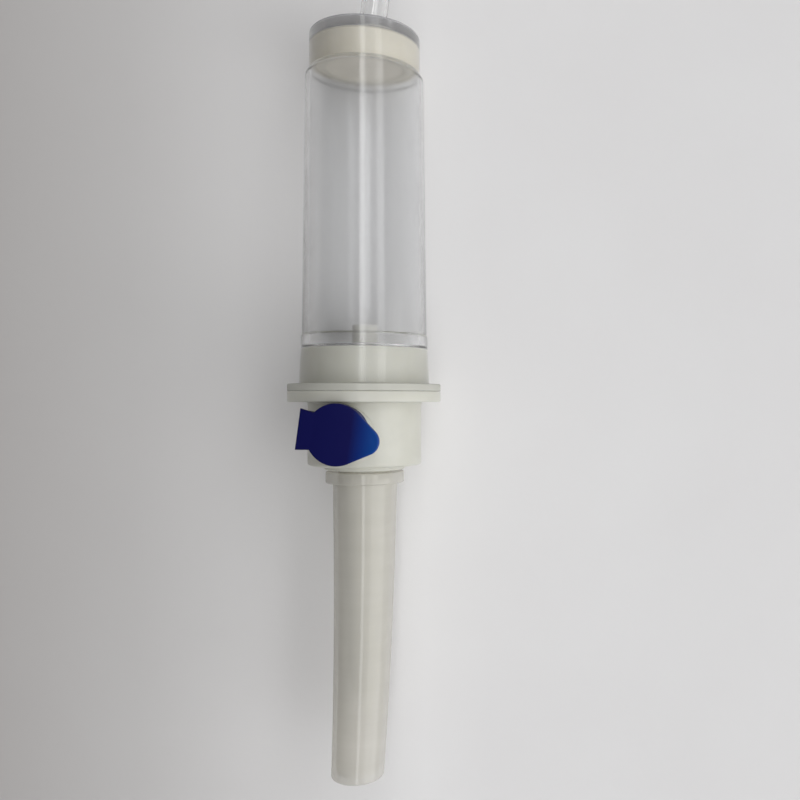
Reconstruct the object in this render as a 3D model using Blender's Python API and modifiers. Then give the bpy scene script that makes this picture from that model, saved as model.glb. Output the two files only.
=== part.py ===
"""Gravity infusion set: a vented spike, drip chamber, tubing, roller clamp and luer lock connector.

Blender 4.5 script, in metres, +Z up. The set lies on its side on the plane z = 0, with its outlet
towards +Y. Turned pieces are drawn about their own axis: a station is a distance along the set's
axis from the spike side of the flange, plus towards the outlet and minus towards the spike.
"""

import math

import bmesh
import bpy
from mathutils import Matrix, Vector

# Clearances, edges and facets
FIT = 0.0003
EDGE = 0.0002
MERGE = 0.000001
ROUND_STEPS = 48
SMALL_STEPS = 32
BORE_STEPS = 16
SMOOTH_ANGLE = math.radians(35)

# Spike moulding: flange, hub, spigot and spike
FLANGE_RADIUS = 0.01145
FLANGE_THICKNESS = 0.0016
HUB_RADIUS = 0.0085
HUB_LENGTH = 0.0095
HUB_FLOOR = 0.0013
SPIGOT_RADIUS = 0.00845
SPIGOT_LENGTH = 0.0065
SPIGOT_WALL = 0.0013
COLUMN_RADIUS = 0.0031
COLUMN_RECESS = 0.0012
SHOULDER_RADIUS = 0.0060
SHOULDER_LENGTH = 0.00065
ROOT_LENGTH = 0.0030
ROOT_TAPER = 0.0006
SPIKE_RADIUS_NEAR = 0.0032
SPIKE_RADIUS_FAR = 0.0025
SPIKE_LENGTH = 0.0380
POINT_LENGTH = 0.0100
POINT_SHORT_LENGTH = 0.0070
POINT_OFFSET = 0.0009
CHANNEL_RADIUS = 0.0008
CHANNEL_OFFSET = 0.00105
PASSAGE_RADIUS = 0.0007

# Drop former, pressed into the column
DRIP_TUBE_RADIUS = 0.0019
DRIP_TUBE_BORE = 0.00075
DRIP_TUBE_LENGTH = 0.0076
DRIP_TUBE_SEAT = 0.0033

# Vent port, its filter, and the blue cap
VENT_STATION = -0.0045
VENT_ROLL = math.radians(16)
BOSS_RADIUS = 0.0039
BOSS_HEIGHT = 0.0015
BOSS_SINK = 0.0004
STALK_RADIUS = 0.0020
VENT_BORE_RADIUS = 0.0032
VENT_BORE_DEPTH = 0.0015
VENT_FILTER_THICKNESS = 0.0004
RING_RADIUS = 0.0041
RING_THICKNESS = 0.0010
RING_BORE = 0.0021
CAP_TURN = math.radians(8)
LID_RADIUS = 0.00435
LID_THICKNESS = 0.0013
TAB_THICKNESS = 0.0008
TAB_RADIUS = 0.00193
TAB_REACH = 0.0043
TAB_DROP = 0.0003
PLUG_RING_WALL = 0.0006
PLUG_RING_LENGTH = 0.0010
HINGE_REACH = 0.0055
HINGE_WIDTH = 0.0058
HINGE_ROOT_WIDTH = 0.0052
HINGE_BLOCK = 0.0009
HINGE_SETBACK = 0.0002
GATE_RADIUS = 0.0009
GATE_DEPTH = 0.00015

# Sheath over the spike
COVER_LENGTH = 0.0463
COVER_RADIUS_NEAR = 0.00480
COVER_RADIUS_FAR = 0.00395
COVER_WALL = 0.0007
COLLAR_RADIUS = 0.00585
COLLAR_LENGTH = 0.00175
COVER_BEND = 0.0011

# Drip chamber
LIP_THICKNESS = 0.0008
NECK_WALL = 0.0010
BEAD_LENGTH = 0.0017
BEAD_HEIGHT = 0.0003
SHOULDER_STEP = 0.00015
BARREL_LENGTH = 0.03905
BARREL_RADIUS_NEAR = 0.00931
BARREL_RADIUS_FAR = 0.00882
BARREL_WALL = 0.0009

# Outlet cap with its filter
OUTLET_STEP = 0.00055
OUTLET_LENGTH = 0.0064
OUTLET_DISC = 0.0013
OUTLET_PLUG_LENGTH = 0.0026
OUTLET_PLUG_WALL = 0.0006
SOCKET_WALL = 0.0008
SOCKET_DEPTH = 0.0033
SOCKET_STOP = 0.0006
SOCKET_STOP_BORE = 0.0015
OUTLET_OFFSET = 0.0008
CUP_INSET = 0.0008
CUP_WALL = 0.0008
CUP_FLOOR = 0.0008
CUP_LEDGE = 0.0010
MESH_RECESS = 0.0004
MESH_THICKNESS = 0.0004

# Tubing and its route. The points are chosen by hand, in the world frame
TUBE_RADIUS = 0.00205
TUBE_SPACING = 0.0050
TUBE_STRAIGHT = 0.0010
LEAD_POINTS = (
    (0.00125, 0.0590, 0.0083),
    (0.00215, 0.0660, 0.0072),
    (0.00390, 0.0730, 0.0055),
    (0.00600, 0.0790, 0.0042),
    (0.00780, 0.0845, 0.0038),
)
TAIL_POINTS = (
    (-0.01625, 0.1314, 0.0026),
    (-0.01420, 0.1268, 0.0030),
    (-0.01180, 0.1228, 0.0039),
    (-0.01020, 0.1200, 0.0047),
)

# Roller clamp
CLAMP_X = 0.0080
CLAMP_Y = 0.0880
CLAMP_LENGTH = 0.0360
CLAMP_BASE = 0.0013
CLAMP_WALL = 0.0017
CLAMP_CHANNEL = 0.0088
CLAMP_END_WALL = 0.0020
CLAMP_END_HEIGHT = 0.0076
CLAMP_RIM = 0.0014
CLAMP_CORNER = 0.0030
CLAMP_TUBE_GAP = 0.0004
GROOVE_DEPTH = 0.0010
ROLLER_RADIUS = 0.0053
ROLLER_RIDGES = 24
ROLLER_RIDGE_DEPTH = 0.00035
AXLE_RADIUS = 0.0013
ROLLER_START = 0.0090
ROLLER_RUN = 0.0180
PINCHED_SHARE = 0.3
PINCH_GAP = 0.0001

# Hank and its band
HANK_NEAR_Y = 0.1300
HANK_INNER_RADIUS = 0.01025
HANK_STRAIGHT = 0.0488
HANK_COLUMNS = 2
HANK_LEVELS = 5
BAND_WIDTH = 0.0120
BAND_THICKNESS = 0.0003
BAND_CORNER = 0.0004

# Luer lock connector
LUER_X = -0.0100
LUER_Y = 0.1180
LUER_FLANGE_RADIUS = 0.0049
LUER_FLANGE_THICKNESS = 0.0012
LUER_SLEEVE_RADIUS = 0.0031
LUER_SLEEVE_LENGTH = 0.0090
LUER_SOCKET_DEPTH = 0.0080
LUER_NECK_RADIUS = 0.0026
LUER_RING_RADIUS = 0.0033
LUER_RING_LENGTH = 0.0008
LUER_CONE_RADIUS_NEAR = 0.00218
LUER_CONE_RADIUS_FAR = 0.00196
LUER_CONE_LENGTH = 0.0080
LUER_BORE = 0.0011
LUER_COLLAR_RADIUS = 0.0045
LUER_COLLAR_INNER = 0.00385
LUER_COLLAR_LENGTH = 0.0100
LUER_COLLAR_BACK = 0.0014
LUER_COLLAR_RIBS = 12
LUER_RIB_DEPTH = 0.0003
LUER_CAP_BORE = 0.0025
LUER_CAP_SLEEVE_RADIUS = 0.0034
LUER_CAP_GRIP = 0.0095
LUER_CAP_RIBS = 10

# Stations along the set's axis
SPIGOT_TOP = FLANGE_THICKNESS + SPIGOT_LENGTH
COLUMN_TOP = SPIGOT_TOP - COLUMN_RECESS
HUB_END = -HUB_LENGTH
SHOULDER_END = HUB_END - SHOULDER_LENGTH
SPIKE_END = SHOULDER_END - SPIKE_LENGTH
COVER_MOUTH = SHOULDER_END - FIT
COVER_END = COVER_MOUTH - COVER_LENGTH
LIP_BASE = FLANGE_THICKNESS + FIT
LIP_TOP = LIP_BASE + LIP_THICKNESS
BEAD_BASE = SPIGOT_TOP + FIT
NECK_TOP = BEAD_BASE + BEAD_LENGTH
BARREL_END = NECK_TOP + BARREL_LENGTH
OUTLET_SHOULDER = BARREL_END + FIT
OUTLET_END = BARREL_END + OUTLET_LENGTH
DISC_INNER = OUTLET_END - OUTLET_DISC
SOCKET_SEAT = OUTLET_END - SOCKET_DEPTH - FIT

# Radii that follow from a neighbour
CAVITY_RADIUS = SPIGOT_RADIUS - SPIGOT_WALL
ROOT_RADIUS = COVER_RADIUS_NEAR - COVER_WALL - FIT
OUTLET_RADIUS = BARREL_RADIUS_FAR - OUTLET_STEP
OUTLET_PLUG_RADIUS = BARREL_RADIUS_FAR - BARREL_WALL - FIT
OUTLET_INNER = OUTLET_PLUG_RADIUS - OUTLET_PLUG_WALL
CUP_RADIUS = OUTLET_INNER - FIT
TUBE_HOLE = TUBE_RADIUS + FIT

# Heights along the vent port's axis, from the set's axis outwards
BOSS_TOP = HUB_RADIUS + BOSS_HEIGHT
VENT_SEAT = BOSS_TOP - VENT_BORE_DEPTH
VENT_FILTER_TOP = VENT_SEAT + FIT + VENT_FILTER_THICKNESS
RING_BASE = BOSS_TOP + FIT
RING_TOP = RING_BASE + RING_THICKNESS
LID_BASE = RING_TOP + FIT
LID_TOP = LID_BASE + LID_THICKNESS
HINGE_HEIGHT = RING_TOP + FIT / 2

# How the set lies: on the lip's outer edge and on the barrel's far edge
LIP_CONTACT = LIP_TOP - EDGE
BARREL_CONTACT = BARREL_END - EDGE
TILT = math.atan2(FLANGE_RADIUS - BARREL_RADIUS_FAR, BARREL_CONTACT - LIP_CONTACT)
AXIS_HEIGHT = LIP_CONTACT * math.sin(TILT) + FLANGE_RADIUS * math.cos(TILT)
FAR_Y = OUTLET_END * math.cos(TILT) + (OUTLET_RADIUS - EDGE) * math.sin(TILT)
NEAR_Y = COVER_END * math.cos(TILT) - (COVER_RADIUS_FAR - EDGE) * math.sin(TILT)
AXIS_Y = -(FAR_Y + NEAR_Y) / 2

# Roller clamp: heights above the floor and places along it
CLAMP_WIDTH = CLAMP_CHANNEL + 2 * CLAMP_WALL
CLAMP_TUBE_Z = CLAMP_BASE + CLAMP_TUBE_GAP + TUBE_RADIUS
ROLLER_OPEN_Z = CLAMP_TUBE_Z + TUBE_RADIUS + FIT + ROLLER_RADIUS
ROLLER_SHUT_Z = (
    CLAMP_BASE + CLAMP_TUBE_GAP + 2 * TUBE_RADIUS * PINCHED_SHARE + PINCH_GAP + ROLLER_RADIUS
)
ROLLER_DROP = ROLLER_OPEN_Z - ROLLER_SHUT_Z
GROOVE_HALF = AXLE_RADIUS + FIT

# Hank: half width, half length and height
HANK_HALF_WIDTH = HANK_INNER_RADIUS + (HANK_COLUMNS - 1) * 2 * TUBE_RADIUS + TUBE_RADIUS
HANK_HOLE = HANK_INNER_RADIUS - TUBE_RADIUS
HANK_HEIGHT = HANK_LEVELS * 2 * TUBE_RADIUS
HANK_BASE = BAND_THICKNESS + FIT
HANK_X = CLAMP_X - HANK_INNER_RADIUS
HANK_BEND_Y = HANK_NEAR_Y + HANK_HALF_WIDTH
HANK_MIDDLE_Y = HANK_BEND_Y + HANK_STRAIGHT / 2

# Luer lock connector: heights along its axis, from its tube end to its tip
LUER_FLANGE_TOP = LUER_SLEEVE_LENGTH + LUER_FLANGE_THICKNESS
LUER_COLLAR_START = LUER_FLANGE_TOP + FIT
LUER_RING_START = LUER_COLLAR_START + LUER_COLLAR_BACK + FIT
LUER_RING_TOP = LUER_RING_START + LUER_RING_LENGTH
LUER_TIP = LUER_RING_TOP + LUER_CONE_LENGTH
LUER_COLLAR_END = LUER_COLLAR_START + LUER_COLLAR_LENGTH


def clear_scene():
    """Empties the scene of its objects."""
    for obj in list(bpy.data.objects):
        bpy.data.objects.remove(obj, do_unlink=True)


def collection(name):
    """A new collection in the scene."""
    made = bpy.data.collections.new(name)
    bpy.context.scene.collection.children.link(made)
    return made


def material(name, colour, roughness, transmission=0.0):
    """A Principled material for one kind of plastic."""
    made = bpy.data.materials.new(name)
    made.use_nodes = True
    shader = made.node_tree.nodes["Principled BSDF"]
    shader.inputs["Base Color"].default_value = (*colour, 1.0)
    shader.inputs["Roughness"].default_value = roughness
    shader.inputs["Metallic"].default_value = 0.0
    shader.inputs["Transmission Weight"].default_value = transmission
    return made


def add(name, data, home, parent=None):
    """A new object in a collection, under a parent."""
    obj = bpy.data.objects.new(name, data)
    home.objects.link(obj)
    obj.parent = parent
    return obj


def guide(name, location, rotation, parent=None):
    """An empty that carries an axis."""
    obj = add(name, None, bpy.context.scene.collection, parent)
    obj.location = location
    obj.rotation_euler = rotation
    obj.empty_display_size = 0.01
    return obj


def as_cutter(obj):
    """Marks an object as a cutter, which is no piece of the set."""
    obj.hide_render = True
    obj.display_type = "WIRE"
    return obj


def turned(name, profile, steps, home, parent, closed=False):
    """A solid turned about its local Z axis from (radius, height) pairs down its outer side."""
    edges = [(i, i + 1) for i in range(len(profile) - 1)]
    if closed:
        edges.append((len(profile) - 1, 0))
    mesh = bpy.data.meshes.new(name)
    mesh.from_pydata([(radius, 0.0, height) for radius, height in profile], edges, [])
    obj = add(name, mesh, home, parent)
    screw = obj.modifiers.new("turn", "SCREW")
    screw.axis = "Z"
    screw.steps = steps
    screw.render_steps = steps
    screw.use_merge_vertices = True
    screw.merge_threshold = MERGE
    return obj


def rod(name, radius, low, high, home, parent, steps=BORE_STEPS, centre=(0.0, 0.0)):
    """A plain cylinder along local Z between two heights."""
    profile = [(0.0, high), (radius, high), (radius, low), (0.0, low)]
    obj = turned(name, profile, steps, home, parent)
    obj.location = (centre[0], centre[1], 0.0)
    # Half a facet of turn keeps its corners off the edges of what it is cut from
    obj.rotation_euler = (0.0, 0.0, math.pi / steps)
    return obj


def box(name, low, high, home, parent=None):
    """A box between two corners."""
    mesh = bpy.data.meshes.new(name)
    shape = bmesh.new()
    bmesh.ops.create_cube(shape, size=1.0)
    low, high = Vector(low), Vector(high)
    bmesh.ops.scale(shape, vec=high - low, verts=shape.verts)
    bmesh.ops.translate(shape, vec=(low + high) / 2, verts=shape.verts)
    shape.to_mesh(mesh)
    shape.free()
    return add(name, mesh, home, parent)


def arc(centre, radius, start, end, steps):
    """Points along a circle's arc, both ends included."""
    angles = [start + (end - start) * i / steps for i in range(steps + 1)]
    return [(centre[0] + radius * math.cos(a), centre[1] + radius * math.sin(a)) for a in angles]


def rounded_polygon(corners, steps=5):
    """An outline from (x, y, corner radius) points, each corner rounded by its radius."""
    outline = []
    for i, (x, y, radius) in enumerate(corners):
        here = Vector((x, y))
        before = (Vector(corners[i - 1][:2]) - here).normalized()
        after = (Vector(corners[(i + 1) % len(corners)][:2]) - here).normalized()
        if radius <= 0:
            outline.append((x, y))
            continue
        half = before.angle(after) / 2
        centre = here + (before + after).normalized() * radius / math.sin(half)
        first = here + before * radius / math.tan(half) - centre
        last = here + after * radius / math.tan(half) - centre
        start = math.atan2(first.y, first.x)
        sweep = math.remainder(math.atan2(last.y, last.x) - start, 2 * math.pi)
        outline += arc(centre, radius, start, start + sweep, steps)
    return outline


def stadium(half_width, straight, steps):
    """An outline with round ends, its straight sides along Y, centred on the origin."""
    far = arc((0.0, straight / 2), half_width, 0.0, math.pi, steps)
    near = arc((0.0, -straight / 2), half_width, math.pi, 2 * math.pi, steps)
    return far + near


def ridged_circle(radius, depth, ridges):
    """A round outline with evenly spaced ridges."""
    outline = []
    for i in range(ridges):
        for share, reach in ((0.0, radius - depth), (0.3, radius), (0.7, radius)):
            angle = 2 * math.pi * (i + share) / ridges
            outline.append((reach * math.cos(angle), reach * math.sin(angle)))
    return outline


def plate(name, outlines, low, high, home, parent):
    """A flat outline with its holes, thick between two heights along local Z, as a mesh."""
    curve = bpy.data.curves.new(name, "CURVE")
    curve.dimensions = "2D"
    curve.fill_mode = "BOTH"
    curve.extrude = (high - low) / 2
    for outline in outlines:
        spline = curve.splines.new("POLY")
        spline.points.add(len(outline) - 1)
        for point, (x, y) in zip(spline.points, outline):
            point.co = (x, y, 0.0, 1.0)
        spline.use_cyclic_u = True
    drawn = add(name + "_outline", curve, home)
    bpy.context.view_layer.update()
    mesh = bpy.data.meshes.new_from_object(drawn.evaluated_get(bpy.context.evaluated_depsgraph_get()))
    bpy.data.objects.remove(drawn)
    mesh.name = name
    shape = bmesh.new()
    shape.from_mesh(mesh)
    bmesh.ops.remove_doubles(shape, verts=shape.verts, dist=MERGE)
    bmesh.ops.translate(shape, vec=(0.0, 0.0, (low + high) / 2), verts=shape.verts)
    bmesh.ops.recalc_face_normals(shape, faces=shape.faces)
    shape.to_mesh(mesh)
    shape.free()
    return add(name, mesh, home, parent)


def combine(obj, other, operation):
    """A Boolean of one object with another, as a modifier."""
    change = obj.modifiers.new(other.name, "BOOLEAN")
    change.operation = operation
    change.solver = "EXACT"
    change.object = other


def cut(obj, cutter):
    """Takes a cutter's shape out of an object."""
    combine(obj, as_cutter(cutter), "DIFFERENCE")


def join(obj, other):
    """Adds another shape to an object."""
    combine(obj, as_cutter(other), "UNION")


def bevelled(obj, width, segments=1):
    """Rounds an object's sharp edges a little."""
    change = obj.modifiers.new("edges", "BEVEL")
    change.width = width
    change.segments = segments
    change.limit_method = "ANGLE"
    change.angle_limit = math.radians(40)


def bent_sideways(obj, start, length, amount):
    """Bows an object towards -X below a height, by an amount that grows with the square."""
    bpy.context.view_layer.update()
    mesh = bpy.data.meshes.new_from_object(obj.evaluated_get(bpy.context.evaluated_depsgraph_get()))
    for vertex in mesh.vertices:
        share = max(0.0, start - vertex.co.z) / length
        vertex.co.x -= amount * share * share
    obj.modifiers.clear()
    obj.data = mesh


def smooth_route(points, spacing):
    """Evenly spaced points on one smooth curve through the route's own points."""
    route = [Vector(p) for p in points]
    ends = [2 * route[0] - route[1]] + route + [2 * route[-1] - route[-2]]
    fine = []
    for a, b, c, d in zip(ends, ends[1:], ends[2:], ends[3:]):
        for i in range(12):
            t = i / 12
            near = 2 * b + (c - a) * t
            fine.append((near + (2 * a - 5 * b + 4 * c - d) * t**2 + (3 * b - a - 3 * c + d) * t**3) / 2)
    fine.append(route[-1])
    total = sum((q - p).length for p, q in zip(fine, fine[1:]))
    count = max(2, round(total / spacing))
    picked = [fine[0]]
    walked = 0.0
    for p, q in zip(fine, fine[1:]):
        step = (q - p).length
        while len(picked) < count and walked + step >= total * len(picked) / count:
            picked.append(p.lerp(q, (total * len(picked) / count - walked) / step))
        walked += step
    return picked + [fine[-1]]


def tube(name, points, home):
    """A stretch of tubing as a round curve with filled ends."""
    curve = bpy.data.curves.new(name, "CURVE")
    curve.dimensions = "3D"
    curve.bevel_depth = TUBE_RADIUS
    curve.bevel_resolution = 2
    curve.use_fill_caps = True
    spline = curve.splines.new("POLY")
    spline.points.add(len(points) - 1)
    for point, place in zip(spline.points, points):
        point.co = (*place, 1.0)
    return add(name, curve, home)


def spike_moulding(home, cutters, set_axis, vent_axis):
    """Flange, hub, spigot, vent port and spike, moulded in one piece."""
    root_end = SHOULDER_END - ROOT_LENGTH
    profile = [
        (0.0, COLUMN_TOP),
        (COLUMN_RADIUS, COLUMN_TOP),
        (COLUMN_RADIUS, HUB_END + HUB_FLOOR),
        (CAVITY_RADIUS, HUB_END + HUB_FLOOR),
        (CAVITY_RADIUS, SPIGOT_TOP),
        (SPIGOT_RADIUS - EDGE, SPIGOT_TOP),
        (SPIGOT_RADIUS, SPIGOT_TOP - EDGE),
        (SPIGOT_RADIUS, FLANGE_THICKNESS),
        (FLANGE_RADIUS - EDGE, FLANGE_THICKNESS),
        (FLANGE_RADIUS, FLANGE_THICKNESS - EDGE),
        (FLANGE_RADIUS, EDGE),
        (FLANGE_RADIUS - EDGE, 0.0),
        (HUB_RADIUS, 0.0),
        (HUB_RADIUS, HUB_END + EDGE),
        (HUB_RADIUS - EDGE, HUB_END),
        (SHOULDER_RADIUS, HUB_END),
        (SHOULDER_RADIUS, SHOULDER_END),
        (ROOT_RADIUS, SHOULDER_END),
        (ROOT_RADIUS, root_end),
        (SPIKE_RADIUS_NEAR, root_end - ROOT_TAPER),
        (SPIKE_RADIUS_FAR, SPIKE_END + POINT_LENGTH),
        (SPIKE_RADIUS_FAR, SPIKE_END),
        (0.0, SPIKE_END),
    ]
    body = turned("spike_body", profile, ROUND_STEPS, home, set_axis)

    boss_base = math.sqrt(HUB_RADIUS**2 - BOSS_RADIUS**2) - BOSS_SINK
    boss_profile = [
        (0.0, BOSS_TOP),
        (BOSS_RADIUS - EDGE, BOSS_TOP),
        (BOSS_RADIUS, BOSS_TOP - EDGE),
        (BOSS_RADIUS, boss_base),
        (STALK_RADIUS, boss_base),
        (STALK_RADIUS, COLUMN_RADIUS / 2),
        (0.0, COLUMN_RADIUS / 2),
    ]
    join(body, turned("vent_boss", boss_profile, SMALL_STEPS, cutters, vent_axis))

    seat = COLUMN_TOP - DRIP_TUBE_SEAT - FIT
    past = FIT * 4
    cut(body, rod("drip_tube_bore", DRIP_TUBE_RADIUS + FIT, seat, COLUMN_TOP + past, cutters, set_axis, 24))
    air = Vector((-math.sin(VENT_ROLL), -math.cos(VENT_ROLL))) * CHANNEL_OFFSET
    low = SPIKE_END - past
    cut(body, rod("fluid_channel", CHANNEL_RADIUS, low, seat + past, cutters, set_axis, centre=-air))
    cut(body, rod("air_channel", CHANNEL_RADIUS, low, VENT_STATION + past, cutters, set_axis, centre=air))
    top = BOSS_TOP + past
    cut(body, rod("vent_counterbore", VENT_BORE_RADIUS, VENT_SEAT, top, cutters, vent_axis, SMALL_STEPS))
    cut(body, rod("vent_passage", PASSAGE_RADIUS, CHANNEL_OFFSET, VENT_SEAT + past, cutters, vent_axis))
    cut(body, point_cutter("long_bevel", -1, POINT_SHORT_LENGTH, cutters, set_axis))
    cut(body, point_cutter("short_bevel", 1, POINT_LENGTH, cutters, set_axis))
    return body


def point_cutter(name, side, length, cutters, set_axis):
    """A block whose face slices one side of the spike's point, down to the tip."""
    start = Vector((side * SPIKE_RADIUS_FAR, 0.0, SPIKE_END + length))
    tip = Vector((POINT_OFFSET, 0.0, SPIKE_END))
    run = (tip - start).normalized()
    outward = Vector((-run.z, 0.0, run.x)) * side
    size = 2 * SPIKE_RADIUS_FAR + length
    block = box(name, (0.0, -size, -size), (size, size, size), cutters, set_axis)
    sideways = run.cross(outward)
    frame = Matrix((outward, sideways, run)).transposed()
    block.rotation_euler = frame.to_euler()
    block.location = (start + tip) / 2
    return block


def drop_former(home, set_axis):
    """The short tube that forms the drops, pressed into the column."""
    low = COLUMN_TOP - DRIP_TUBE_SEAT
    high = low + DRIP_TUBE_LENGTH
    profile = [
        (DRIP_TUBE_RADIUS - EDGE, high),
        (DRIP_TUBE_RADIUS, high - EDGE),
        (DRIP_TUBE_RADIUS, low),
        (DRIP_TUBE_BORE, low),
        (DRIP_TUBE_BORE, high),
    ]
    return turned("drip_tube", profile, SMALL_STEPS, home, set_axis, closed=True)


def vent_filter(home, vent_axis):
    """The air filter, a disc on the floor of the vent port."""
    radius = VENT_BORE_RADIUS - FIT
    return rod("vent_filter", radius, VENT_SEAT + FIT, VENT_FILTER_TOP, home, vent_axis, SMALL_STEPS)


def vent_ring(home, cutters, cap_axis):
    """The blue ring in the vent port's mouth, with the strap that carries the hinge."""
    spigot = VENT_BORE_RADIUS - FIT
    profile = [
        (RING_RADIUS, RING_TOP),
        (RING_RADIUS, RING_BASE),
        (spigot, RING_BASE),
        (spigot, VENT_FILTER_TOP + FIT),
        (RING_BORE, VENT_FILTER_TOP + FIT),
        (RING_BORE, RING_TOP),
    ]
    ring = turned("vent_cap_ring", profile, SMALL_STEPS, home, cap_axis, closed=True)
    half = HINGE_ROOT_WIDTH / 2
    inner = -(spigot + RING_BORE) / 2
    low = (-HINGE_REACH + HINGE_SETBACK, -half, RING_BASE)
    join(ring, box("ring_strap", low, (inner, half, RING_TOP), cutters, cap_axis))
    return ring


def lid_outline():
    """The lid from above: a disc, the round finger tab with its tangents, and the hinge strap."""
    tab = Vector((TAB_REACH, -TAB_DROP))
    heading = math.atan2(tab.y, tab.x)
    spread = math.acos((LID_RADIUS - TAB_RADIUS) / tab.length)
    root = math.asin(HINGE_ROOT_WIDTH / 2 / LID_RADIUS)
    half = HINGE_WIDTH / 2
    outline = [(-HINGE_REACH, half), (-HINGE_REACH, -half)]
    outline += arc((0.0, 0.0), LID_RADIUS, math.pi + root, 2 * math.pi + heading - spread, 14)
    outline += arc(tab, TAB_RADIUS, heading - spread, heading + spread, 12)
    outline += arc((0.0, 0.0), LID_RADIUS, heading + spread, math.pi - root, 14)
    return outline


def vent_lid(home, cutters, lid_hinge):
    """The blue lid, which turns about the hinge at its strap's edge."""
    top = LID_TOP - HINGE_HEIGHT
    base = LID_BASE - HINGE_HEIGHT
    lid = plate("vent_cap_lid", [lid_outline()], top - TAB_THICKNESS, top, home, lid_hinge)
    bevelled(lid, EDGE)
    middle = add("lid_middle", None, cutters, lid_hinge)
    lid.data.transform(Matrix.Translation((HINGE_REACH, 0.0, 0.0)))
    middle.location = (HINGE_REACH, 0.0, 0.0)

    under = top - TAB_THICKNESS / 2
    disc_profile = [
        (0.0, under),
        (LID_RADIUS - EDGE / 2, under),
        (LID_RADIUS - EDGE / 2, base + EDGE),
        (LID_RADIUS - EDGE * 3 / 2, base),
        (0.0, base),
    ]
    join(lid, turned("lid_disc", disc_profile, ROUND_STEPS, cutters, middle))
    outer = RING_BORE - FIT
    ring_low = base - PLUG_RING_LENGTH
    ring_profile = [
        (outer, base + EDGE),
        (outer, ring_low),
        (outer - PLUG_RING_WALL, ring_low),
        (outer - PLUG_RING_WALL, base + EDGE),
    ]
    join(lid, turned("lid_plug_ring", ring_profile, SMALL_STEPS, cutters, middle, closed=True))
    half = HINGE_WIDTH / 2
    join(lid, box("lid_hinge_block", (0.0, -half, base), (HINGE_BLOCK, half, under), cutters, lid_hinge))
    cut(lid, rod("lid_gate", GATE_RADIUS, top - GATE_DEPTH, top + GATE_DEPTH, cutters, middle))
    return lid


def spike_cover(home, set_axis):
    """The sheath over the spike, a tapered cup with a collar, bowed a little to one side."""
    foot = COVER_MOUTH - COLLAR_LENGTH
    profile = [
        (0.0, COVER_END + COVER_WALL),
        (COVER_RADIUS_FAR - COVER_WALL, COVER_END + COVER_WALL),
        (COVER_RADIUS_NEAR - COVER_WALL, foot),
        (COVER_RADIUS_NEAR - COVER_WALL, COVER_MOUTH),
        (COLLAR_RADIUS - EDGE, COVER_MOUTH),
        (COLLAR_RADIUS, COVER_MOUTH - EDGE),
        (COLLAR_RADIUS, foot + EDGE),
        (COLLAR_RADIUS - EDGE, foot),
        (COVER_RADIUS_NEAR, foot),
        (COVER_RADIUS_FAR, COVER_END + EDGE),
        (COVER_RADIUS_FAR - EDGE, COVER_END),
        (0.0, COVER_END),
    ]
    # Rings between the ends let the sheath bow smoothly
    rings = 6
    inner = [between(profile[1], profile[2], i / rings) for i in range(1, rings)]
    outer = [between(profile[8], profile[9], i / rings) for i in range(1, rings)]
    profile = profile[:2] + inner + profile[2:9] + outer + profile[9:]
    cover = turned("spike_cover", profile, ROUND_STEPS, home, set_axis)
    bent_sideways(cover, foot, COVER_LENGTH - COLLAR_LENGTH, COVER_BEND)
    return cover


def between(a, b, share):
    """A point part of the way from one pair to another."""
    return (a[0] + (b[0] - a[0]) * share, a[1] + (b[1] - a[1]) * share)


def drip_chamber(home, set_axis):
    """The clear barrel, open at both ends, with a lip disc, a neck over the spigot and a bead."""
    neck_inner = SPIGOT_RADIUS + FIT
    near_inner = BARREL_RADIUS_NEAR - BARREL_WALL
    profile = [
        (BARREL_RADIUS_FAR - EDGE, BARREL_END),
        (BARREL_RADIUS_FAR, BARREL_END - EDGE),
        (BARREL_RADIUS_NEAR, NECK_TOP),
        (BARREL_RADIUS_NEAR + SHOULDER_STEP, NECK_TOP - SHOULDER_STEP),
        (BARREL_RADIUS_NEAR + SHOULDER_STEP, BEAD_BASE),
        (neck_inner + NECK_WALL, LIP_TOP),
        (FLANGE_RADIUS - EDGE, LIP_TOP),
        (FLANGE_RADIUS, LIP_TOP - EDGE),
        (FLANGE_RADIUS, LIP_BASE),
        (neck_inner, LIP_BASE),
        (neck_inner, BEAD_BASE),
        (near_inner - BEAD_HEIGHT, BEAD_BASE),
        (near_inner - BEAD_HEIGHT, NECK_TOP - EDGE),
        (near_inner, NECK_TOP),
        (BARREL_RADIUS_FAR - BARREL_WALL, BARREL_END),
    ]
    return turned("drip_chamber", profile, ROUND_STEPS, home, set_axis, closed=True)


def outlet_cap(home, cutters, set_axis, outlet_axis):
    """The clear end piece: a plug inside the barrel, a cap beyond it and a socket for the tube."""
    plug_start = BARREL_END - OUTLET_PLUG_LENGTH
    profile = [
        (0.0, OUTLET_END),
        (OUTLET_RADIUS - EDGE, OUTLET_END),
        (OUTLET_RADIUS, OUTLET_END - EDGE),
        (OUTLET_RADIUS, OUTLET_SHOULDER),
        (OUTLET_PLUG_RADIUS, OUTLET_SHOULDER),
        (OUTLET_PLUG_RADIUS, plug_start),
        (OUTLET_INNER, plug_start),
        (OUTLET_INNER, DISC_INNER),
        (0.0, DISC_INNER),
    ]
    cap = turned("outlet_cap", profile, ROUND_STEPS, home, set_axis)
    low = SOCKET_SEAT - SOCKET_STOP
    past = FIT * 4
    sleeve = rod("socket_sleeve", TUBE_HOLE + SOCKET_WALL, low, DISC_INNER + past / 2, cutters, outlet_axis, 24)
    join(cap, sleeve)
    cut(cap, rod("socket_bore", TUBE_HOLE, SOCKET_SEAT, OUTLET_END + past, cutters, outlet_axis, 24))
    cut(cap, rod("socket_outlet", SOCKET_STOP_BORE, low - past, SOCKET_SEAT + past, cutters, outlet_axis))
    return cap


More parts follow.
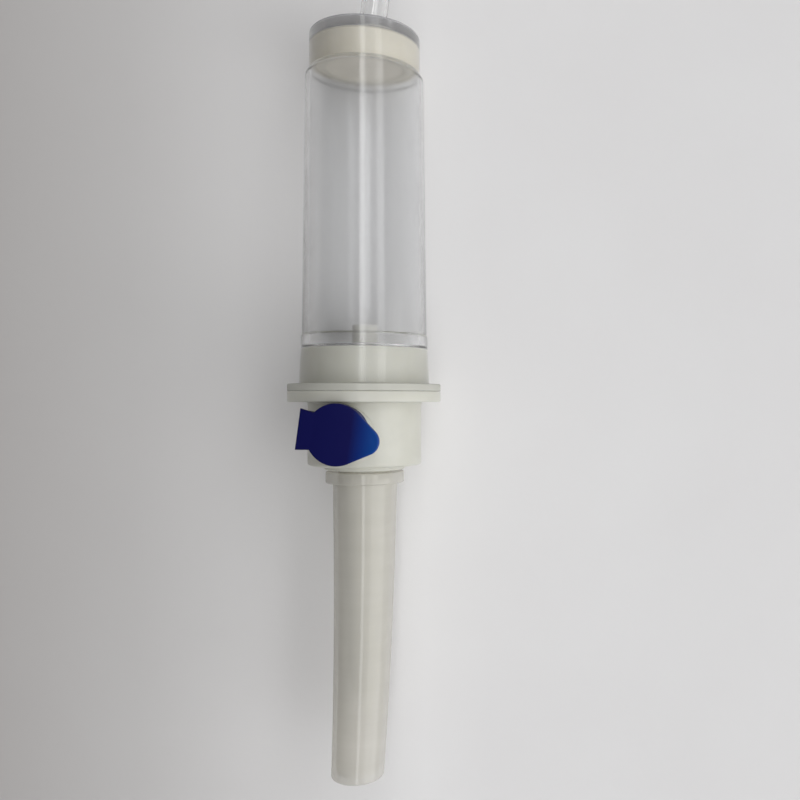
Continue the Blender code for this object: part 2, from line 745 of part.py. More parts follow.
def filter_cup(home, set_axis):
    """The cream cup inside the outlet cap, its mouth towards the barrel, open round the socket."""
    high = DISC_INNER - FIT
    mouth = BARREL_END + CUP_INSET
    ledge = mouth + MESH_RECESS + MESH_THICKNESS + FIT
    inner = CUP_RADIUS - CUP_WALL
    socket_room = TUBE_HOLE + SOCKET_WALL + OUTLET_OFFSET + FIT
    profile = [
        (CUP_RADIUS, high),
        (CUP_RADIUS, mouth + EDGE),
        (CUP_RADIUS - EDGE, mouth),
        (inner, mouth),
        (inner, ledge),
        (inner - CUP_LEDGE, ledge),
        (inner - CUP_LEDGE, high - CUP_FLOOR),
        (socket_room, high - CUP_FLOOR),
        (socket_room, high),
    ]
    return turned("filter_cup", profile, ROUND_STEPS, home, set_axis, closed=True)


def filter_mesh(home, set_axis):
    """The fluid filter, a disc in the mouth of the cup."""
    low = BARREL_END + CUP_INSET + MESH_RECESS
    radius = CUP_RADIUS - CUP_WALL - FIT
    return rod("filter_mesh", radius, low, low + MESH_THICKNESS, home, set_axis, ROUND_STEPS)


def clamp_body(home, cutters, clamp_axis):
    """The trough of the roller clamp: a flat base, two grooved walls, and an end wall each way."""
    start_height = ROLLER_OPEN_Z + GROOVE_HALF + CLAMP_RIM
    slope = ROLLER_DROP / ROLLER_RUN
    near_top = start_height + slope * ROLLER_START
    far_top = near_top - slope * CLAMP_LENGTH
    side = rounded_polygon(
        (
            (0.0, 0.0, EDGE * 3),
            (CLAMP_LENGTH, 0.0, EDGE * 3),
            (CLAMP_LENGTH, far_top, CLAMP_CORNER),
            (0.0, near_top, CLAMP_CORNER),
        )
    )
    half = CLAMP_WIDTH / 2
    body = plate("clamp_body", [side], -half, half, home, clamp_axis)
    # The outline is drawn along and up, and its thickness runs across
    across = Matrix(((0.0, 0.0, 1.0), (1.0, 0.0, 0.0), (0.0, 1.0, 0.0))).to_4x4()
    body.data.transform(across)
    bevelled(body, EDGE * 2)
    inner = CLAMP_CHANNEL / 2
    tall = near_top + CLAMP_CORNER
    low = (-inner, CLAMP_END_WALL, CLAMP_BASE)
    cut(body, box("clamp_trough", low, (inner, CLAMP_LENGTH - CLAMP_END_WALL, tall), cutters, clamp_axis))
    low = (-inner, -CLAMP_END_WALL, CLAMP_END_HEIGHT)
    high = (inner, CLAMP_LENGTH + CLAMP_END_WALL, tall)
    cut(body, box("clamp_mouth", low, high, cutters, clamp_axis))
    hole = rod("clamp_tube_hole", TUBE_HOLE, -CLAMP_LENGTH - CLAMP_BASE, CLAMP_BASE, cutters, clamp_axis, 24)
    hole.rotation_euler = (math.radians(90), 0.0, 0.0)
    hole.location = (0.0, 0.0, CLAMP_TUBE_Z)
    cut(body, hole)

    reach = inner + GROOVE_DEPTH
    angle = math.atan2(ROLLER_DROP, ROLLER_RUN)
    travel = math.hypot(ROLLER_DROP, ROLLER_RUN)
    groove = plate("clamp_groove", [stadium(GROOVE_HALF, travel, 8)], -reach, reach, cutters, clamp_axis)
    groove.data.transform(across @ Matrix.Rotation(math.radians(-90) - angle, 4, "Z"))
    middle_z = (ROLLER_OPEN_Z + ROLLER_SHUT_Z) / 2
    groove.location = (0.0, ROLLER_START + ROLLER_RUN / 2, middle_z)
    cut(body, groove)
    return body


def clamp_roller(home, cutters, roller_axis):
    """The knurled roller with its axle stubs. Its parent sits on the axle, at the open end."""
    across = Matrix(((0.0, 0.0, 1.0), (1.0, 0.0, 0.0), (0.0, 1.0, 0.0))).to_4x4()
    half = CLAMP_CHANNEL / 2 - FIT
    outline = ridged_circle(ROLLER_RADIUS, ROLLER_RIDGE_DEPTH, ROLLER_RIDGES)
    roller = plate("clamp_roller", [outline], -half, half, home, roller_axis)
    roller.data.transform(across)
    stub = CLAMP_CHANNEL / 2 + GROOVE_DEPTH - FIT
    axle = rod("roller_axle", AXLE_RADIUS, -stub, stub, cutters, roller_axis)
    axle.rotation_euler = (0.0, math.radians(90), 0.0)
    join(roller, axle)
    return roller


def hank(home):
    """The put away tubing as one solid of its outer shape, open in the middle."""
    outer = stadium(HANK_HALF_WIDTH, HANK_STRAIGHT, 12)
    inner = stadium(HANK_HOLE, HANK_STRAIGHT, 12)
    solid = plate("tube_hank", [outer, inner], HANK_BASE, HANK_BASE + HANK_HEIGHT, home, None)
    solid.location = (HANK_X, HANK_MIDDLE_Y, 0.0)
    return solid


def hank_tie(home):
    """The paper band round the middle of the hank."""
    loops = []
    for grow in (BAND_THICKNESS + FIT, FIT):
        half = HANK_HALF_WIDTH + grow
        low = HANK_BASE - grow
        high = HANK_BASE + HANK_HEIGHT + grow
        corner = BAND_CORNER + grow - FIT
        corners = ((-half, low, corner), (half, low, corner), (half, high, corner), (-half, high, corner))
        loops.append(rounded_polygon(corners, 4))
    band = plate("hank_tie", loops, -BAND_WIDTH / 2, BAND_WIDTH / 2, home, None)
    # The loop is drawn across and up, and its width runs along the hank
    band.data.transform(Matrix.Rotation(math.radians(90), 4, "X"))
    band.location = (HANK_X, HANK_MIDDLE_Y, 0.0)
    return band


def luer_connector(home, luer_axis):
    """The male cone with its bore, a flange, and the sleeve that the tube is bonded into."""
    profile = [
        (LUER_CONE_RADIUS_FAR, LUER_TIP),
        (LUER_CONE_RADIUS_NEAR, LUER_RING_TOP),
        (LUER_RING_RADIUS, LUER_RING_TOP),
        (LUER_RING_RADIUS, LUER_RING_START),
        (LUER_NECK_RADIUS, LUER_RING_START),
        (LUER_NECK_RADIUS, LUER_FLANGE_TOP),
        (LUER_FLANGE_RADIUS, LUER_FLANGE_TOP),
        (LUER_FLANGE_RADIUS, LUER_SLEEVE_LENGTH),
        (LUER_SLEEVE_RADIUS, LUER_SLEEVE_LENGTH - EDGE),
        (LUER_SLEEVE_RADIUS, 0.0),
        (TUBE_HOLE, 0.0),
        (TUBE_HOLE, LUER_SOCKET_DEPTH),
        (LUER_BORE, LUER_SOCKET_DEPTH),
        (LUER_BORE, LUER_TIP),
    ]
    return turned("luer_connector", profile, SMALL_STEPS, home, luer_axis, closed=True)


def luer_collar(home, cutters, luer_axis):
    """The ribbed lock collar, which turns on the connector's neck."""
    outline = ridged_circle(LUER_COLLAR_RADIUS, LUER_RIB_DEPTH, LUER_COLLAR_RIBS)
    collar = plate("luer_collar", [outline], LUER_COLLAR_START, LUER_COLLAR_END, home, luer_axis)
    hollow = LUER_COLLAR_START + LUER_COLLAR_BACK
    past = FIT * 4
    neck = LUER_NECK_RADIUS + FIT
    cut(collar, rod("collar_neck_bore", neck, LUER_COLLAR_START - past, hollow + past, cutters, luer_axis, 24))
    cut(collar, rod("collar_bore", LUER_COLLAR_INNER, hollow, LUER_COLLAR_END + past, cutters, luer_axis, 24))
    return collar


def luer_cap(home, cutters, luer_axis):
    """The cap over the cone: a sleeve inside the collar and a ribbed, closed grip beyond it."""
    grip_start = LUER_COLLAR_END + FIT
    grip_end = grip_start + LUER_CAP_GRIP
    outline = ridged_circle(LUER_FLANGE_RADIUS, LUER_RIB_DEPTH, LUER_CAP_RIBS)
    cap = plate("luer_cap", [outline], grip_start, grip_end, home, luer_axis)
    sleeve_low = LUER_RING_TOP + FIT
    join(cap, rod("cap_sleeve", LUER_CAP_SLEEVE_RADIUS, sleeve_low, grip_start + FIT, cutters, luer_axis, 24))
    cut(cap, rod("cap_bore", LUER_CAP_BORE, sleeve_low - FIT, LUER_TIP + FIT * 2, cutters, luer_axis, 24))
    return cap


def tubing(home, set_axis):
    """The tubing in its stretches: to the clamp, under the roller, to the hank and to the connector."""
    bpy.context.view_layer.update()
    along = Vector((0.0, 1.0, 0.0))
    inside = CLAMP_END_WALL / 2
    clamp_in = Vector((CLAMP_X, CLAMP_Y, CLAMP_TUBE_Z))
    clamp_out = clamp_in + along * CLAMP_LENGTH

    # Each end that sits in another piece is straight for a little way before it
    seat = set_axis.matrix_world @ Vector((OUTLET_OFFSET, 0.0, OUTLET_END - SOCKET_DEPTH))
    leave = set_axis.matrix_world @ Vector((OUTLET_OFFSET, 0.0, OUTLET_END + TUBE_STRAIGHT))
    lead = [leave, *LEAD_POINTS, clamp_in - along * TUBE_STRAIGHT]
    tube("tube_lead", [seat, *smooth_route(lead, TUBE_SPACING), clamp_in + along * inside], home)
    tube("tube_pinch", [clamp_in + along * (inside + FIT), clamp_out - along * (inside + FIT)], home)

    level = HANK_BASE + TUBE_RADIUS
    reach = math.sqrt(HANK_HALF_WIDTH**2 - (HANK_INNER_RADIUS - TUBE_RADIUS) ** 2)
    hank_in = Vector((CLAMP_X, HANK_BEND_Y - reach - FIT, level))
    run = smooth_route([clamp_out + along * TUBE_STRAIGHT, hank_in], TUBE_SPACING)
    tube("tube_run", [clamp_out - along * inside, *run], home)

    outer_run = HANK_HALF_WIDTH - TUBE_RADIUS
    reach = math.sqrt(HANK_HALF_WIDTH**2 - (outer_run - TUBE_RADIUS) ** 2)
    hank_out = Vector((HANK_X - outer_run, HANK_BEND_Y - reach - FIT, level))
    luer_mouth = Vector((LUER_X, LUER_Y, LUER_FLANGE_RADIUS))
    luer_seat = luer_mouth - along * (LUER_SOCKET_DEPTH - FIT)
    tail = smooth_route([hank_out, *TAIL_POINTS, luer_mouth + along * TUBE_STRAIGHT], TUBE_SPACING)
    tube("tube_tail", [*tail, luer_seat], home)


def dress(home):
    """Gives each piece its material, and applies what shapes it so that it shades by angle."""
    cream = material("cream_plastic", (0.82, 0.81, 0.70), 0.35)
    blue = material("blue_plastic", (0.01, 0.04, 0.30), 0.40)
    sheath = material("milky_plastic", (0.86, 0.86, 0.78), 0.45, 0.4)
    clear = material("clear_plastic", (0.93, 0.94, 0.94), 0.06, 0.95)
    tubing_clear = material("tubing_plastic", (0.93, 0.94, 0.94), 0.12, 0.90)
    white = material("white_fibre", (0.88, 0.88, 0.85), 0.80)
    clamp = material("clamp_plastic", (0.86, 0.88, 0.88), 0.35)
    paper = material("paper", (0.90, 0.89, 0.86), 0.85)
    materials = {
        "spike_body": cream,
        "drip_tube": clear,
        "vent_filter": white,
        "vent_cap_ring": blue,
        "vent_cap_lid": blue,
        "spike_cover": sheath,
        "drip_chamber": clear,
        "outlet_cap": clear,
        "filter_cup": cream,
        "filter_mesh": white,
        "tube_lead": tubing_clear,
        "tube_pinch": tubing_clear,
        "tube_run": tubing_clear,
        "tube_hank": tubing_clear,
        "tube_tail": tubing_clear,
        "clamp_body": clamp,
        "clamp_roller": clamp,
        "hank_tie": paper,
        "luer_connector": clear,
        "luer_collar": clamp,
        "luer_cap": blue,
    }
    bpy.context.view_layer.update()
    graph = bpy.context.evaluated_depsgraph_get()
    applied = {}
    for obj in home.objects:
        if obj.type == "MESH":
            applied[obj.name] = bpy.data.meshes.new_from_object(obj.evaluated_get(graph))
    for name, mesh in applied.items():
        obj = home.objects[name]
        obj.modifiers.clear()
        obj.data = mesh
        mesh.name = name
        mesh.shade_smooth()
        mesh.set_sharp_from_angle(angle=SMOOTH_ANGLE)
    for name, chosen in materials.items():
        data = home.objects[name].data
        data.materials.clear()
        data.materials.append(chosen)


def build():
    clear_scene()
    home = collection("iv_infusion_set")
    cutters = collection("cutters")

    set_axis = guide("set_axis", (0.0, AXIS_Y, AXIS_HEIGHT), (-math.radians(90) - TILT, 0.0, 0.0))
    outlet_axis = guide("outlet_axis", (OUTLET_OFFSET, 0.0, 0.0), (0.0, 0.0, 0.0), set_axis)
    vent_axis = guide("vent_axis", (0.0, 0.0, VENT_STATION), (math.radians(90), 0.0, -VENT_ROLL), set_axis)
    cap_axis = guide("cap_axis", (0.0, 0.0, 0.0), (0.0, 0.0, -CAP_TURN), vent_axis)
    lid_hinge = guide("lid_hinge", (-HINGE_REACH, 0.0, HINGE_HEIGHT), (0.0, 0.0, 0.0), cap_axis)
    clamp_axis = guide("clamp_axis", (CLAMP_X, CLAMP_Y, 0.0), (0.0, 0.0, 0.0))
    roller_axis = guide("roller_axis", (0.0, ROLLER_START, ROLLER_OPEN_Z), (0.0, 0.0, 0.0), clamp_axis)
    luer_axis = guide("luer_axis", (LUER_X, LUER_Y, LUER_FLANGE_RADIUS), (math.radians(90), 0.0, 0.0))

    spike_moulding(home, cutters, set_axis, vent_axis)
    drop_former(home, set_axis)
    vent_filter(home, vent_axis)
    vent_ring(home, cutters, cap_axis)
    vent_lid(home, cutters, lid_hinge)
    spike_cover(home, set_axis)
    drip_chamber(home, set_axis)
    outlet_cap(home, cutters, set_axis, outlet_axis)
    filter_cup(home, set_axis)
    filter_mesh(home, set_axis)
    clamp_body(home, cutters, clamp_axis)
    clamp_roller(home, cutters, roller_axis)
    hank(home)
    hank_tie(home)
    luer_connector(home, luer_axis)
    luer_collar(home, cutters, luer_axis)
    luer_cap(home, cutters, luer_axis)
    tubing(home, set_axis)
    dress(home)


build()
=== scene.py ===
"""Infusion set on a pale table, seen from above. All sizes are in metres, in the frame of the CAD."""

import math

import bmesh
import bpy
from mathutils import Matrix, Vector


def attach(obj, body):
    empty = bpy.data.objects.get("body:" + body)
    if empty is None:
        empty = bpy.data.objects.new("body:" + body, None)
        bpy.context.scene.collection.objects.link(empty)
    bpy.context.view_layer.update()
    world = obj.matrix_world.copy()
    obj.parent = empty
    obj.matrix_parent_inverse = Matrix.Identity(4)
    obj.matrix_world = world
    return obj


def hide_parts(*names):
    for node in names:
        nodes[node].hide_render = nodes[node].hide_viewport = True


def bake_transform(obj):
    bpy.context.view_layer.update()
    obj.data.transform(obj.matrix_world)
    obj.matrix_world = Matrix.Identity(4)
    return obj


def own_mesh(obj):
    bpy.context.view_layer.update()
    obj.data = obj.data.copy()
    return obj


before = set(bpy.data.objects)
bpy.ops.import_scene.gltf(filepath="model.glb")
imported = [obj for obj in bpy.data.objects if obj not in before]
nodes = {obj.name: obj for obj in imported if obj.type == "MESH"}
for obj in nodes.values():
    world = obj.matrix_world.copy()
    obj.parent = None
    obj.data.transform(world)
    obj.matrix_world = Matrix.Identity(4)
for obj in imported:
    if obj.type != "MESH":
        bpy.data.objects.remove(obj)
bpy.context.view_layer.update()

# Where the set's axis lies. Stations and radii of the pieces on it are those of the solids
AXIS_Y = 0.000477
AXIS_HEIGHT = 0.011573
TILT = 0.05656

# Cream moulding: flange, spigot with its cavity and column, hub, and spike with its channels
FLANGE_RADIUS = 0.01145
FLANGE_THICKNESS = 0.0016
SPIGOT_RADIUS = 0.00845
SPIGOT_TOP = 0.0081
CAVITY_RADIUS = 0.00715
CAVITY_FLOOR = -0.0082
COLUMN_RADIUS = 0.0031
COLUMN_TOP = 0.0069
HUB_RADIUS = 0.0085
HUB_END = -0.0095
SHOULDER_RADIUS = 0.0060
SHOULDER_END = -0.01015
ROOT_RADIUS = 0.0038
ROOT_END = -0.01315
ROOT_STEP = 0.0006
SPIKE_RADIUS_NEAR = 0.0032
SPIKE_RADIUS_FAR = 0.0025
SPIKE_END = -0.04815
POINT_LENGTH = 0.0100
POINT_SHORT_LENGTH = 0.0070
POINT_OFFSET = 0.0009
POINT_MARGIN = 0.002
CHANNEL_RADIUS = 0.0008
CHANNEL_OFFSET = 0.00105
CHANNEL_PAST = 0.001

# Drop former
FORMER_RADIUS = 0.0019
FORMER_BORE = 0.00075
FORMER_LOW = 0.0036
FORMER_HIGH = 0.0112

# Sheath
COVER_MOUTH = -0.01045
COVER_FOOT = -0.0122
COVER_END = -0.05675
COVER_RADIUS_NEAR = 0.00480
COVER_RADIUS_FAR = 0.00395
COVER_WALL = 0.0007
COVER_BEND = 0.0011
COVER_STEPS = 12
COLLAR_RADIUS = 0.00585

# Chamber: lip, neck, bead and barrel
LIP_BASE = 0.00165
LIP_TOP = 0.0027
NECK_RADIUS = 0.00975
BEAD_BASE = 0.0084
BEAD_RADIUS = 0.00811
NECK_TOP = 0.0101
SHOULDER_STEP = 0.00015
BARREL_RADIUS_NEAR = 0.00931
BARREL_RADIUS_FAR = 0.00882
BARREL_WALL = 0.0009
BARREL_END = 0.04915
SPIGOT_PRESS = 0.00003

# Outlet end, whose socket for the tube lies a little off the axis
OUTLET_RADIUS = 0.00827
OUTLET_INNER = 0.0070
OUTLET_END = 0.05555
OUTLET_DISC = 0.0013
OUTLET_OFFSET = 0.0008
OFFSET_PAST_BARREL = 0.001
OFFSET_INSIDE_WALL = 0.0008
OFFSET_EASE = 0.0025
SOCKET_RADIUS = 0.00315
SOCKET_SEAT = 0.05195
SOCKET_STEP = 0.0006
SOCKET_FIT = 0.00005

# Margins within which the chamber's faces get painted shade and painted light in place of the clear
# finish
PLUG_MARGIN = 0.0006
BORE_MARGIN = 0.0001
LIP_MARGIN = 0.0004

# Filter cup and filter
CUP_MOUTH = 0.04995
CUP_END = 0.05395
CUP_PRESS = 0.00002
CUP_BORE = 0.0049
CUP_FLOOR = 0.0008
CUP_HOLE = 0.0042
FILTER_RADIUS = 0.00563
FILTER_DEPTH = 0.0008
FILTER_INSET = 0.00008

# Vent port and its blue cap: heights are from the set's axis outwards
VENT_STATION = -0.0045
VENT_ROLL = math.radians(16)
CAP_TURN = math.radians(8)
BOSS_RADIUS = 0.0039
BOSS_BASE = 0.0071
BOSS_TOP = 0.0100
VENT_BORE_RADIUS = 0.0032
VENT_SEAT = 0.0085
RING_TOP = 0.0113
LID_BASE = 0.0116
LID_TOP = 0.0129
LID_RADIUS = 0.00435
LID_RIM = 0.0002
LID_WALL_INSET = 0.00003
PLUG_RADIUS = 0.0018
PLUG_BORE = 0.0012
PLUG_LENGTH = 0.0010
TAB_THICKNESS = 0.0008
TAB_RADIUS = 0.00193
TAB_PLACE = (0.0043, -0.0003)
HINGE_REACH = 0.0055
HINGE_WIDTH = 0.0058
HINGE_ROOT_WIDTH = 0.0052
WEB_THICKNESS = 0.00018
WEB_IN_RING = 0.0004
WEB_IN_LID = 0.0005
WEB_ROWS = 12

# Clamp, connector and tubing, whose free stretches have points listed one by one
TUBE_RADIUS = 0.00205
TUBE_BORE = 0.0015
TUBE_SEATED = 0.0033
TUBE_STRAIGHT = 0.0010
CLAMP_X = 0.0080
CLAMP_Y = 0.0880
CLAMP_LENGTH = 0.0360
CLAMP_END = 0.0010
CLAMP_TUBE_Z = 0.00375
PINCH_GAP = 0.0003
LUER_MOUTH = (-0.0100, 0.1180, 0.0049)
LUER_SEAT = 0.0077
LEAD_POINTS = (
    (0.00125, 0.0590, 0.0083),
    (0.00215, 0.0660, 0.0072),
    (0.00390, 0.0730, 0.0055),
    (0.00600, 0.0790, 0.0042),
    (0.00780, 0.0845, 0.0038),
)
TAIL_POINTS = (
    (-0.01625, 0.1314, 0.0026),
    (-0.01420, 0.1268, 0.0030),
    (-0.01180, 0.1228, 0.0039),
    (-0.01020, 0.1200, 0.0047),
)
ROUTE_SPACING = 0.0012
ROUTE_STEPS = 24

# Hank: its turns, and how the tubing crosses from the inner to the outer ones
HANK_X = -0.00225
HANK_NEAR = 0.1464
HANK_STRAIGHT = 0.0488
HANK_INNER = 0.01025
HANK_OUTER = 0.01435
HANK_LOW = 0.00265
HANK_PITCH = 0.0041
HANK_SPACING = 0.0022
INNER_TURNS = 3.5
OUTER_TURNS = 4
CROSSING_START = 0.30
CROSSING_SHARE = 0.70
LIFT_SHARE = 0.55
RUN_IN = (0.012, 0.004)
RUN_OUT = (0.004, 0.0112)

SET = Matrix.Translation((0.0, AXIS_Y, AXIS_HEIGHT)) @ Matrix.Rotation(-math.pi / 2 - TILT, 4, "X")
VENT = (
    SET
    @ Matrix.Translation((0.0, 0.0, VENT_STATION))
    @ Matrix.Rotation(-VENT_ROLL, 4, "Z")
    @ Matrix.Rotation(math.pi / 2, 4, "X")
)
CAP = VENT @ Matrix.Rotation(-CAP_TURN, 4, "Z")

# Camera: square to the set's axis near the flange, its film turned a little to the right
CAMERA_SIDE = 0.0054
CAMERA_STATION = 0.0003
CAMERA_DISTANCE = 0.130
CAMERA_TURN = math.radians(8)
LENS_MM = 37.8
SHIFT = -0.1486

# Meshes: steps round a turned piece and along a fillet, and the angle from which an edge stays sharp
STEPS = 160
FILLET_STEPS = 4
SHARP_ANGLE = math.radians(32)

# Gloss of cloudy plastic: the most it mirrors
GLOSS_INDEX = 1.45
GLOSS_LIMIT = 0.12

# Blue plastic, from its thick parts to its thin tab, brighter towards the tab as painted light shining
# through, and the stretch over which it changes
BLUES_PAINTED_LIGHT = (
    (0.0, (0.0042, 0.0048, 0.078)),
    (0.45, (0.0018, 0.021, 0.170)),
    (1.0, (0.0010, 0.050, 0.265)),
)
BLUE_BEFORE_TAB = 0.0022
BLUE_PAST_TAB = 0.0012

# Table top, across the stretch in view: painted shade towards its left and painted light near the set
TABLE_HALF = 0.9
TABLE_DROP = 0.0001
TABLE_REACH = 0.060
TABLE = (
    (0.0, (0.480, 0.465, 0.455)),
    (0.19, (0.580, 0.570, 0.563)),
    (0.32, (0.690, 0.682, 0.677)),
    (0.42, (0.735, 0.728, 0.724)),
    (0.58, (0.850, 0.845, 0.843)),
    (0.67, (0.820, 0.815, 0.815)),
    (1.0, (0.795, 0.790, 0.790)),
)

# Light from all round, from the left to the right
SKY = (
    (0.0, (0.12, 0.12, 0.125)),
    (0.5, (0.16, 0.16, 0.165)),
    (0.75, (0.22, 0.22, 0.225)),
    (0.9, (0.60, 0.60, 0.60)),
)


def place_camera():
    data = bpy.data.cameras.new("camera")
    data.lens = LENS_MM
    data.sensor_width = 36.0
    data.clip_start = 0.01
    data.shift_x = SHIFT
    camera = bpy.data.objects.new("camera", data)
    above = SET @ Matrix.Translation((CAMERA_SIDE, -CAMERA_DISTANCE, CAMERA_STATION))
    turned = Matrix.Rotation(math.pi / 2, 4, "X") @ Matrix.Rotation(-CAMERA_TURN, 4, "Y")
    camera.matrix_world = above @ turned
    bpy.context.scene.collection.objects.link(camera)
    bpy.context.scene.camera = camera


def new_material(name):
    """A node material and its output node, with the default shader removed."""
    made = bpy.data.materials.new(name)
    made.use_nodes = True
    tree = made.node_tree
    tree.nodes.clear()
    return made, tree, tree.nodes.new("ShaderNodeOutputMaterial")


def fed(tree, socket, value):
    """Sets a socket to a number, or links another node's result to it."""
    if isinstance(value, bpy.types.NodeSocket):
        tree.links.new(value, socket)
    else:
        socket.default_value = value


def principled(tree, **values):
    shader = tree.nodes.new("ShaderNodeBsdfPrincipled")
    for key, value in values.items():
        shader.inputs[key.replace("_", " ")].default_value = value
    return shader


def noise(tree, scale, detail=3.0, stretch=None):
    """Noise in the frame's metres, stretched along an axis where asked."""
    place = tree.nodes.new("ShaderNodeNewGeometry").outputs["Position"]
    texture = tree.nodes.new("ShaderNodeTexNoise")
    texture.inputs["Scale"].default_value = scale
    texture.inputs["Detail"].default_value = detail
    if stretch:
        mapping = tree.nodes.new("ShaderNodeMapping")
        mapping.inputs["Scale"].default_value = stretch
        tree.links.new(place, mapping.inputs["Vector"])
        place = mapping.outputs["Vector"]
    tree.links.new(place, texture.inputs["Vector"])
    return texture.outputs["Fac"]


def ramp(tree, source, *stops):
    """A colour ramp over a value, from (place, colour) stops."""
    node = tree.nodes.new("ShaderNodeValToRGB")
    elements = node.color_ramp.elements
    while len(elements) < len(stops):
        elements.new(0.5)
    for element, (place, colour) in zip(elements, stops):
        element.position = place
        element.color = (*colour, 1.0)
    tree.links.new(source, node.inputs["Fac"])
    return node.outputs["Color"]


def bump(tree, source, distance, shader):
    node = tree.nodes.new("ShaderNodeBump")
    node.inputs["Distance"].default_value = distance
    node.inputs["Strength"].default_value = 1.0
    tree.links.new(source, node.inputs["Height"])
    tree.links.new(node.outputs["Normal"], shader.inputs["Normal"])


def reckoned(tree, operation, *values):
    """The result of one sum, from numbers and other nodes' results."""
    node = tree.nodes.new("ShaderNodeMath")
    node.operation = operation
    for socket, value in zip(node.inputs, values):
        fed(tree, socket, value)
    return node.outputs["Value"]


def mixed(tree, share, first, second):
    """The first shader, and the second one by its share."""
    node = tree.nodes.new("ShaderNodeMixShader")
    fed(tree, node.inputs["Fac"], share)
    tree.links.new(first, node.inputs[1])
    tree.links.new(second, node.inputs[2])
    return node.outputs["Shader"]


def see_through(tree, colour):
    shader = tree.nodes.new("ShaderNodeBsdfTransparent")
    shader.inputs["Color"].default_value = (*colour, 1.0)
    return shader.outputs["BSDF"]


def lighting_ray(tree):
    """One for rays that light a matt surface, which pass straight through clear pieces."""
    path = tree.nodes.new("ShaderNodeLightPath")
    return reckoned(tree, "MAXIMUM", path.outputs["Is Shadow Ray"], path.outputs["Is Diffuse Ray"])


def moulded(name, low, high, roughness, grain=0.00002, subsurface=0.0):
    """Opaque moulded plastic with a faint mottle and a faint skin."""
    made, tree, out = new_material(name)
    shader = principled(tree, Roughness=roughness, IOR=1.5)
    colour = ramp(tree, noise(tree, 260.0), (0.35, low), (0.68, high))
    tree.links.new(colour, shader.inputs["Base Color"])
    if subsurface:
        shader.inputs["Subsurface Weight"].default_value = subsurface
        shader.inputs["Subsurface Radius"].default_value = (0.0030, 0.0028, 0.0022)
        shader.inputs["Subsurface Scale"].default_value = 1.0
    bump(tree, noise(tree, 900.0), grain, shader)
    tree.links.new(shader.outputs["BSDF"], out.inputs["Surface"])
    return made


def clear_plastic(name, tint, haze, index, shadow=0.95):
    """Clear plastic with an uneven haze, from its least to its most, that lets lighting rays through."""
    made, tree, out = new_material(name)
    glass = principled(tree, IOR=index)
    glass.inputs["Base Color"].default_value = (*tint, 1.0)
    glass.inputs["Transmission Weight"].default_value = 1.0
    least, most = haze
    uneven = ramp(tree, noise(tree, 240.0, 2.0), (0.3, (least,) * 3), (0.7, (most,) * 3))
    tree.links.new(uneven, glass.inputs["Roughness"])
    through = see_through(tree, (shadow,) * 3)
    both = mixed(tree, lighting_ray(tree), glass.outputs["BSDF"], through)
    tree.links.new(both, out.inputs["Surface"])
    return made


def cloudy_plastic(name, low, high, roughness, seen, lit, pass_colour, glow=0.0):
    """Glossy plastic that a share of the view passes through, and a larger share of the light."""
    made, tree, out = new_material(name)
    skin = principled(tree, Roughness=0.9, Specular_IOR_Level=0.0)
    mottle = ramp(tree, noise(tree, 320.0, 3.0, (0.3, 1.6, 0.3)), (0.3, low), (0.72, high))
    tree.links.new(mottle, skin.inputs["Base Color"])
    cloud = tree.nodes.new("ShaderNodeBsdfTranslucent")
    tree.links.new(mottle, cloud.inputs["Color"])
    wall = mixed(tree, glow, skin.outputs["BSDF"], cloud.outputs["BSDF"])

    share = tree.nodes.new("ShaderNodeMapRange")
    share.inputs["To Min"].default_value = seen
    share.inputs["To Max"].default_value = lit
    tree.links.new(lighting_ray(tree), share.inputs["Value"])
    body = mixed(tree, share.outputs["Result"], wall, see_through(tree, pass_colour))

    # The gloss lies on the outside alone, or a wall would mirror its own back
    gloss = tree.nodes.new("ShaderNodeBsdfGlossy")
    gloss.inputs["Roughness"].default_value = roughness
    bump(tree, noise(tree, 900.0, 3.0, (0.08, 2.0, 0.08)), 0.00001, gloss)
    edge = tree.nodes.new("ShaderNodeFresnel")
    edge.inputs["IOR"].default_value = GLOSS_INDEX
    side = tree.nodes.new("ShaderNodeNewGeometry").outputs["Backfacing"]
    mirrored = reckoned(tree, "MINIMUM", edge.outputs["Fac"], GLOSS_LIMIT)
    outside = reckoned(tree, "SUBTRACT", 1.0, side)
    both = mixed(tree, reckoned(tree, "MULTIPLY", mirrored, outside), body, gloss.outputs["BSDF"])
    tree.links.new(both, out.inputs["Surface"])
    return made


def blue_plastic():
    """Deep blue plastic that gets brighter across the cap towards its thin tab: painted light, for light
    shining through the thin plastic.
    """
    made, tree, out = new_material("blue_plastic")
    shader = principled(tree, Roughness=0.42, IOR=1.45, Specular_IOR_Level=0.2)
    place = tree.nodes.new("ShaderNodeNewGeometry").outputs["Position"]
    across = tree.nodes.new("ShaderNodeVectorMath")
    across.operation = "DOT_PRODUCT"
    across.inputs[1].default_value = CAP.col[0][:3]
    tree.links.new(place, across.inputs[0])
    reach = tree.nodes.new("ShaderNodeMapRange")
    tab = CAP.translation.dot(CAP.col[0].xyz) + TAB_PLACE[0]
    reach.inputs["From Min"].default_value = tab - BLUE_BEFORE_TAB
    reach.inputs["From Max"].default_value = tab + BLUE_PAST_TAB
    tree.links.new(across.outputs["Value"], reach.inputs["Value"])
    # Painted light: the blue brightens towards the thin tab
    colour = ramp(tree, reach.outputs["Result"], *BLUES_PAINTED_LIGHT)
    tree.links.new(colour, shader.inputs["Base Color"])
    bump(tree, noise(tree, 1200.0), 0.00003, shader)
    tree.links.new(shader.outputs["BSDF"], out.inputs["Surface"])
    return made


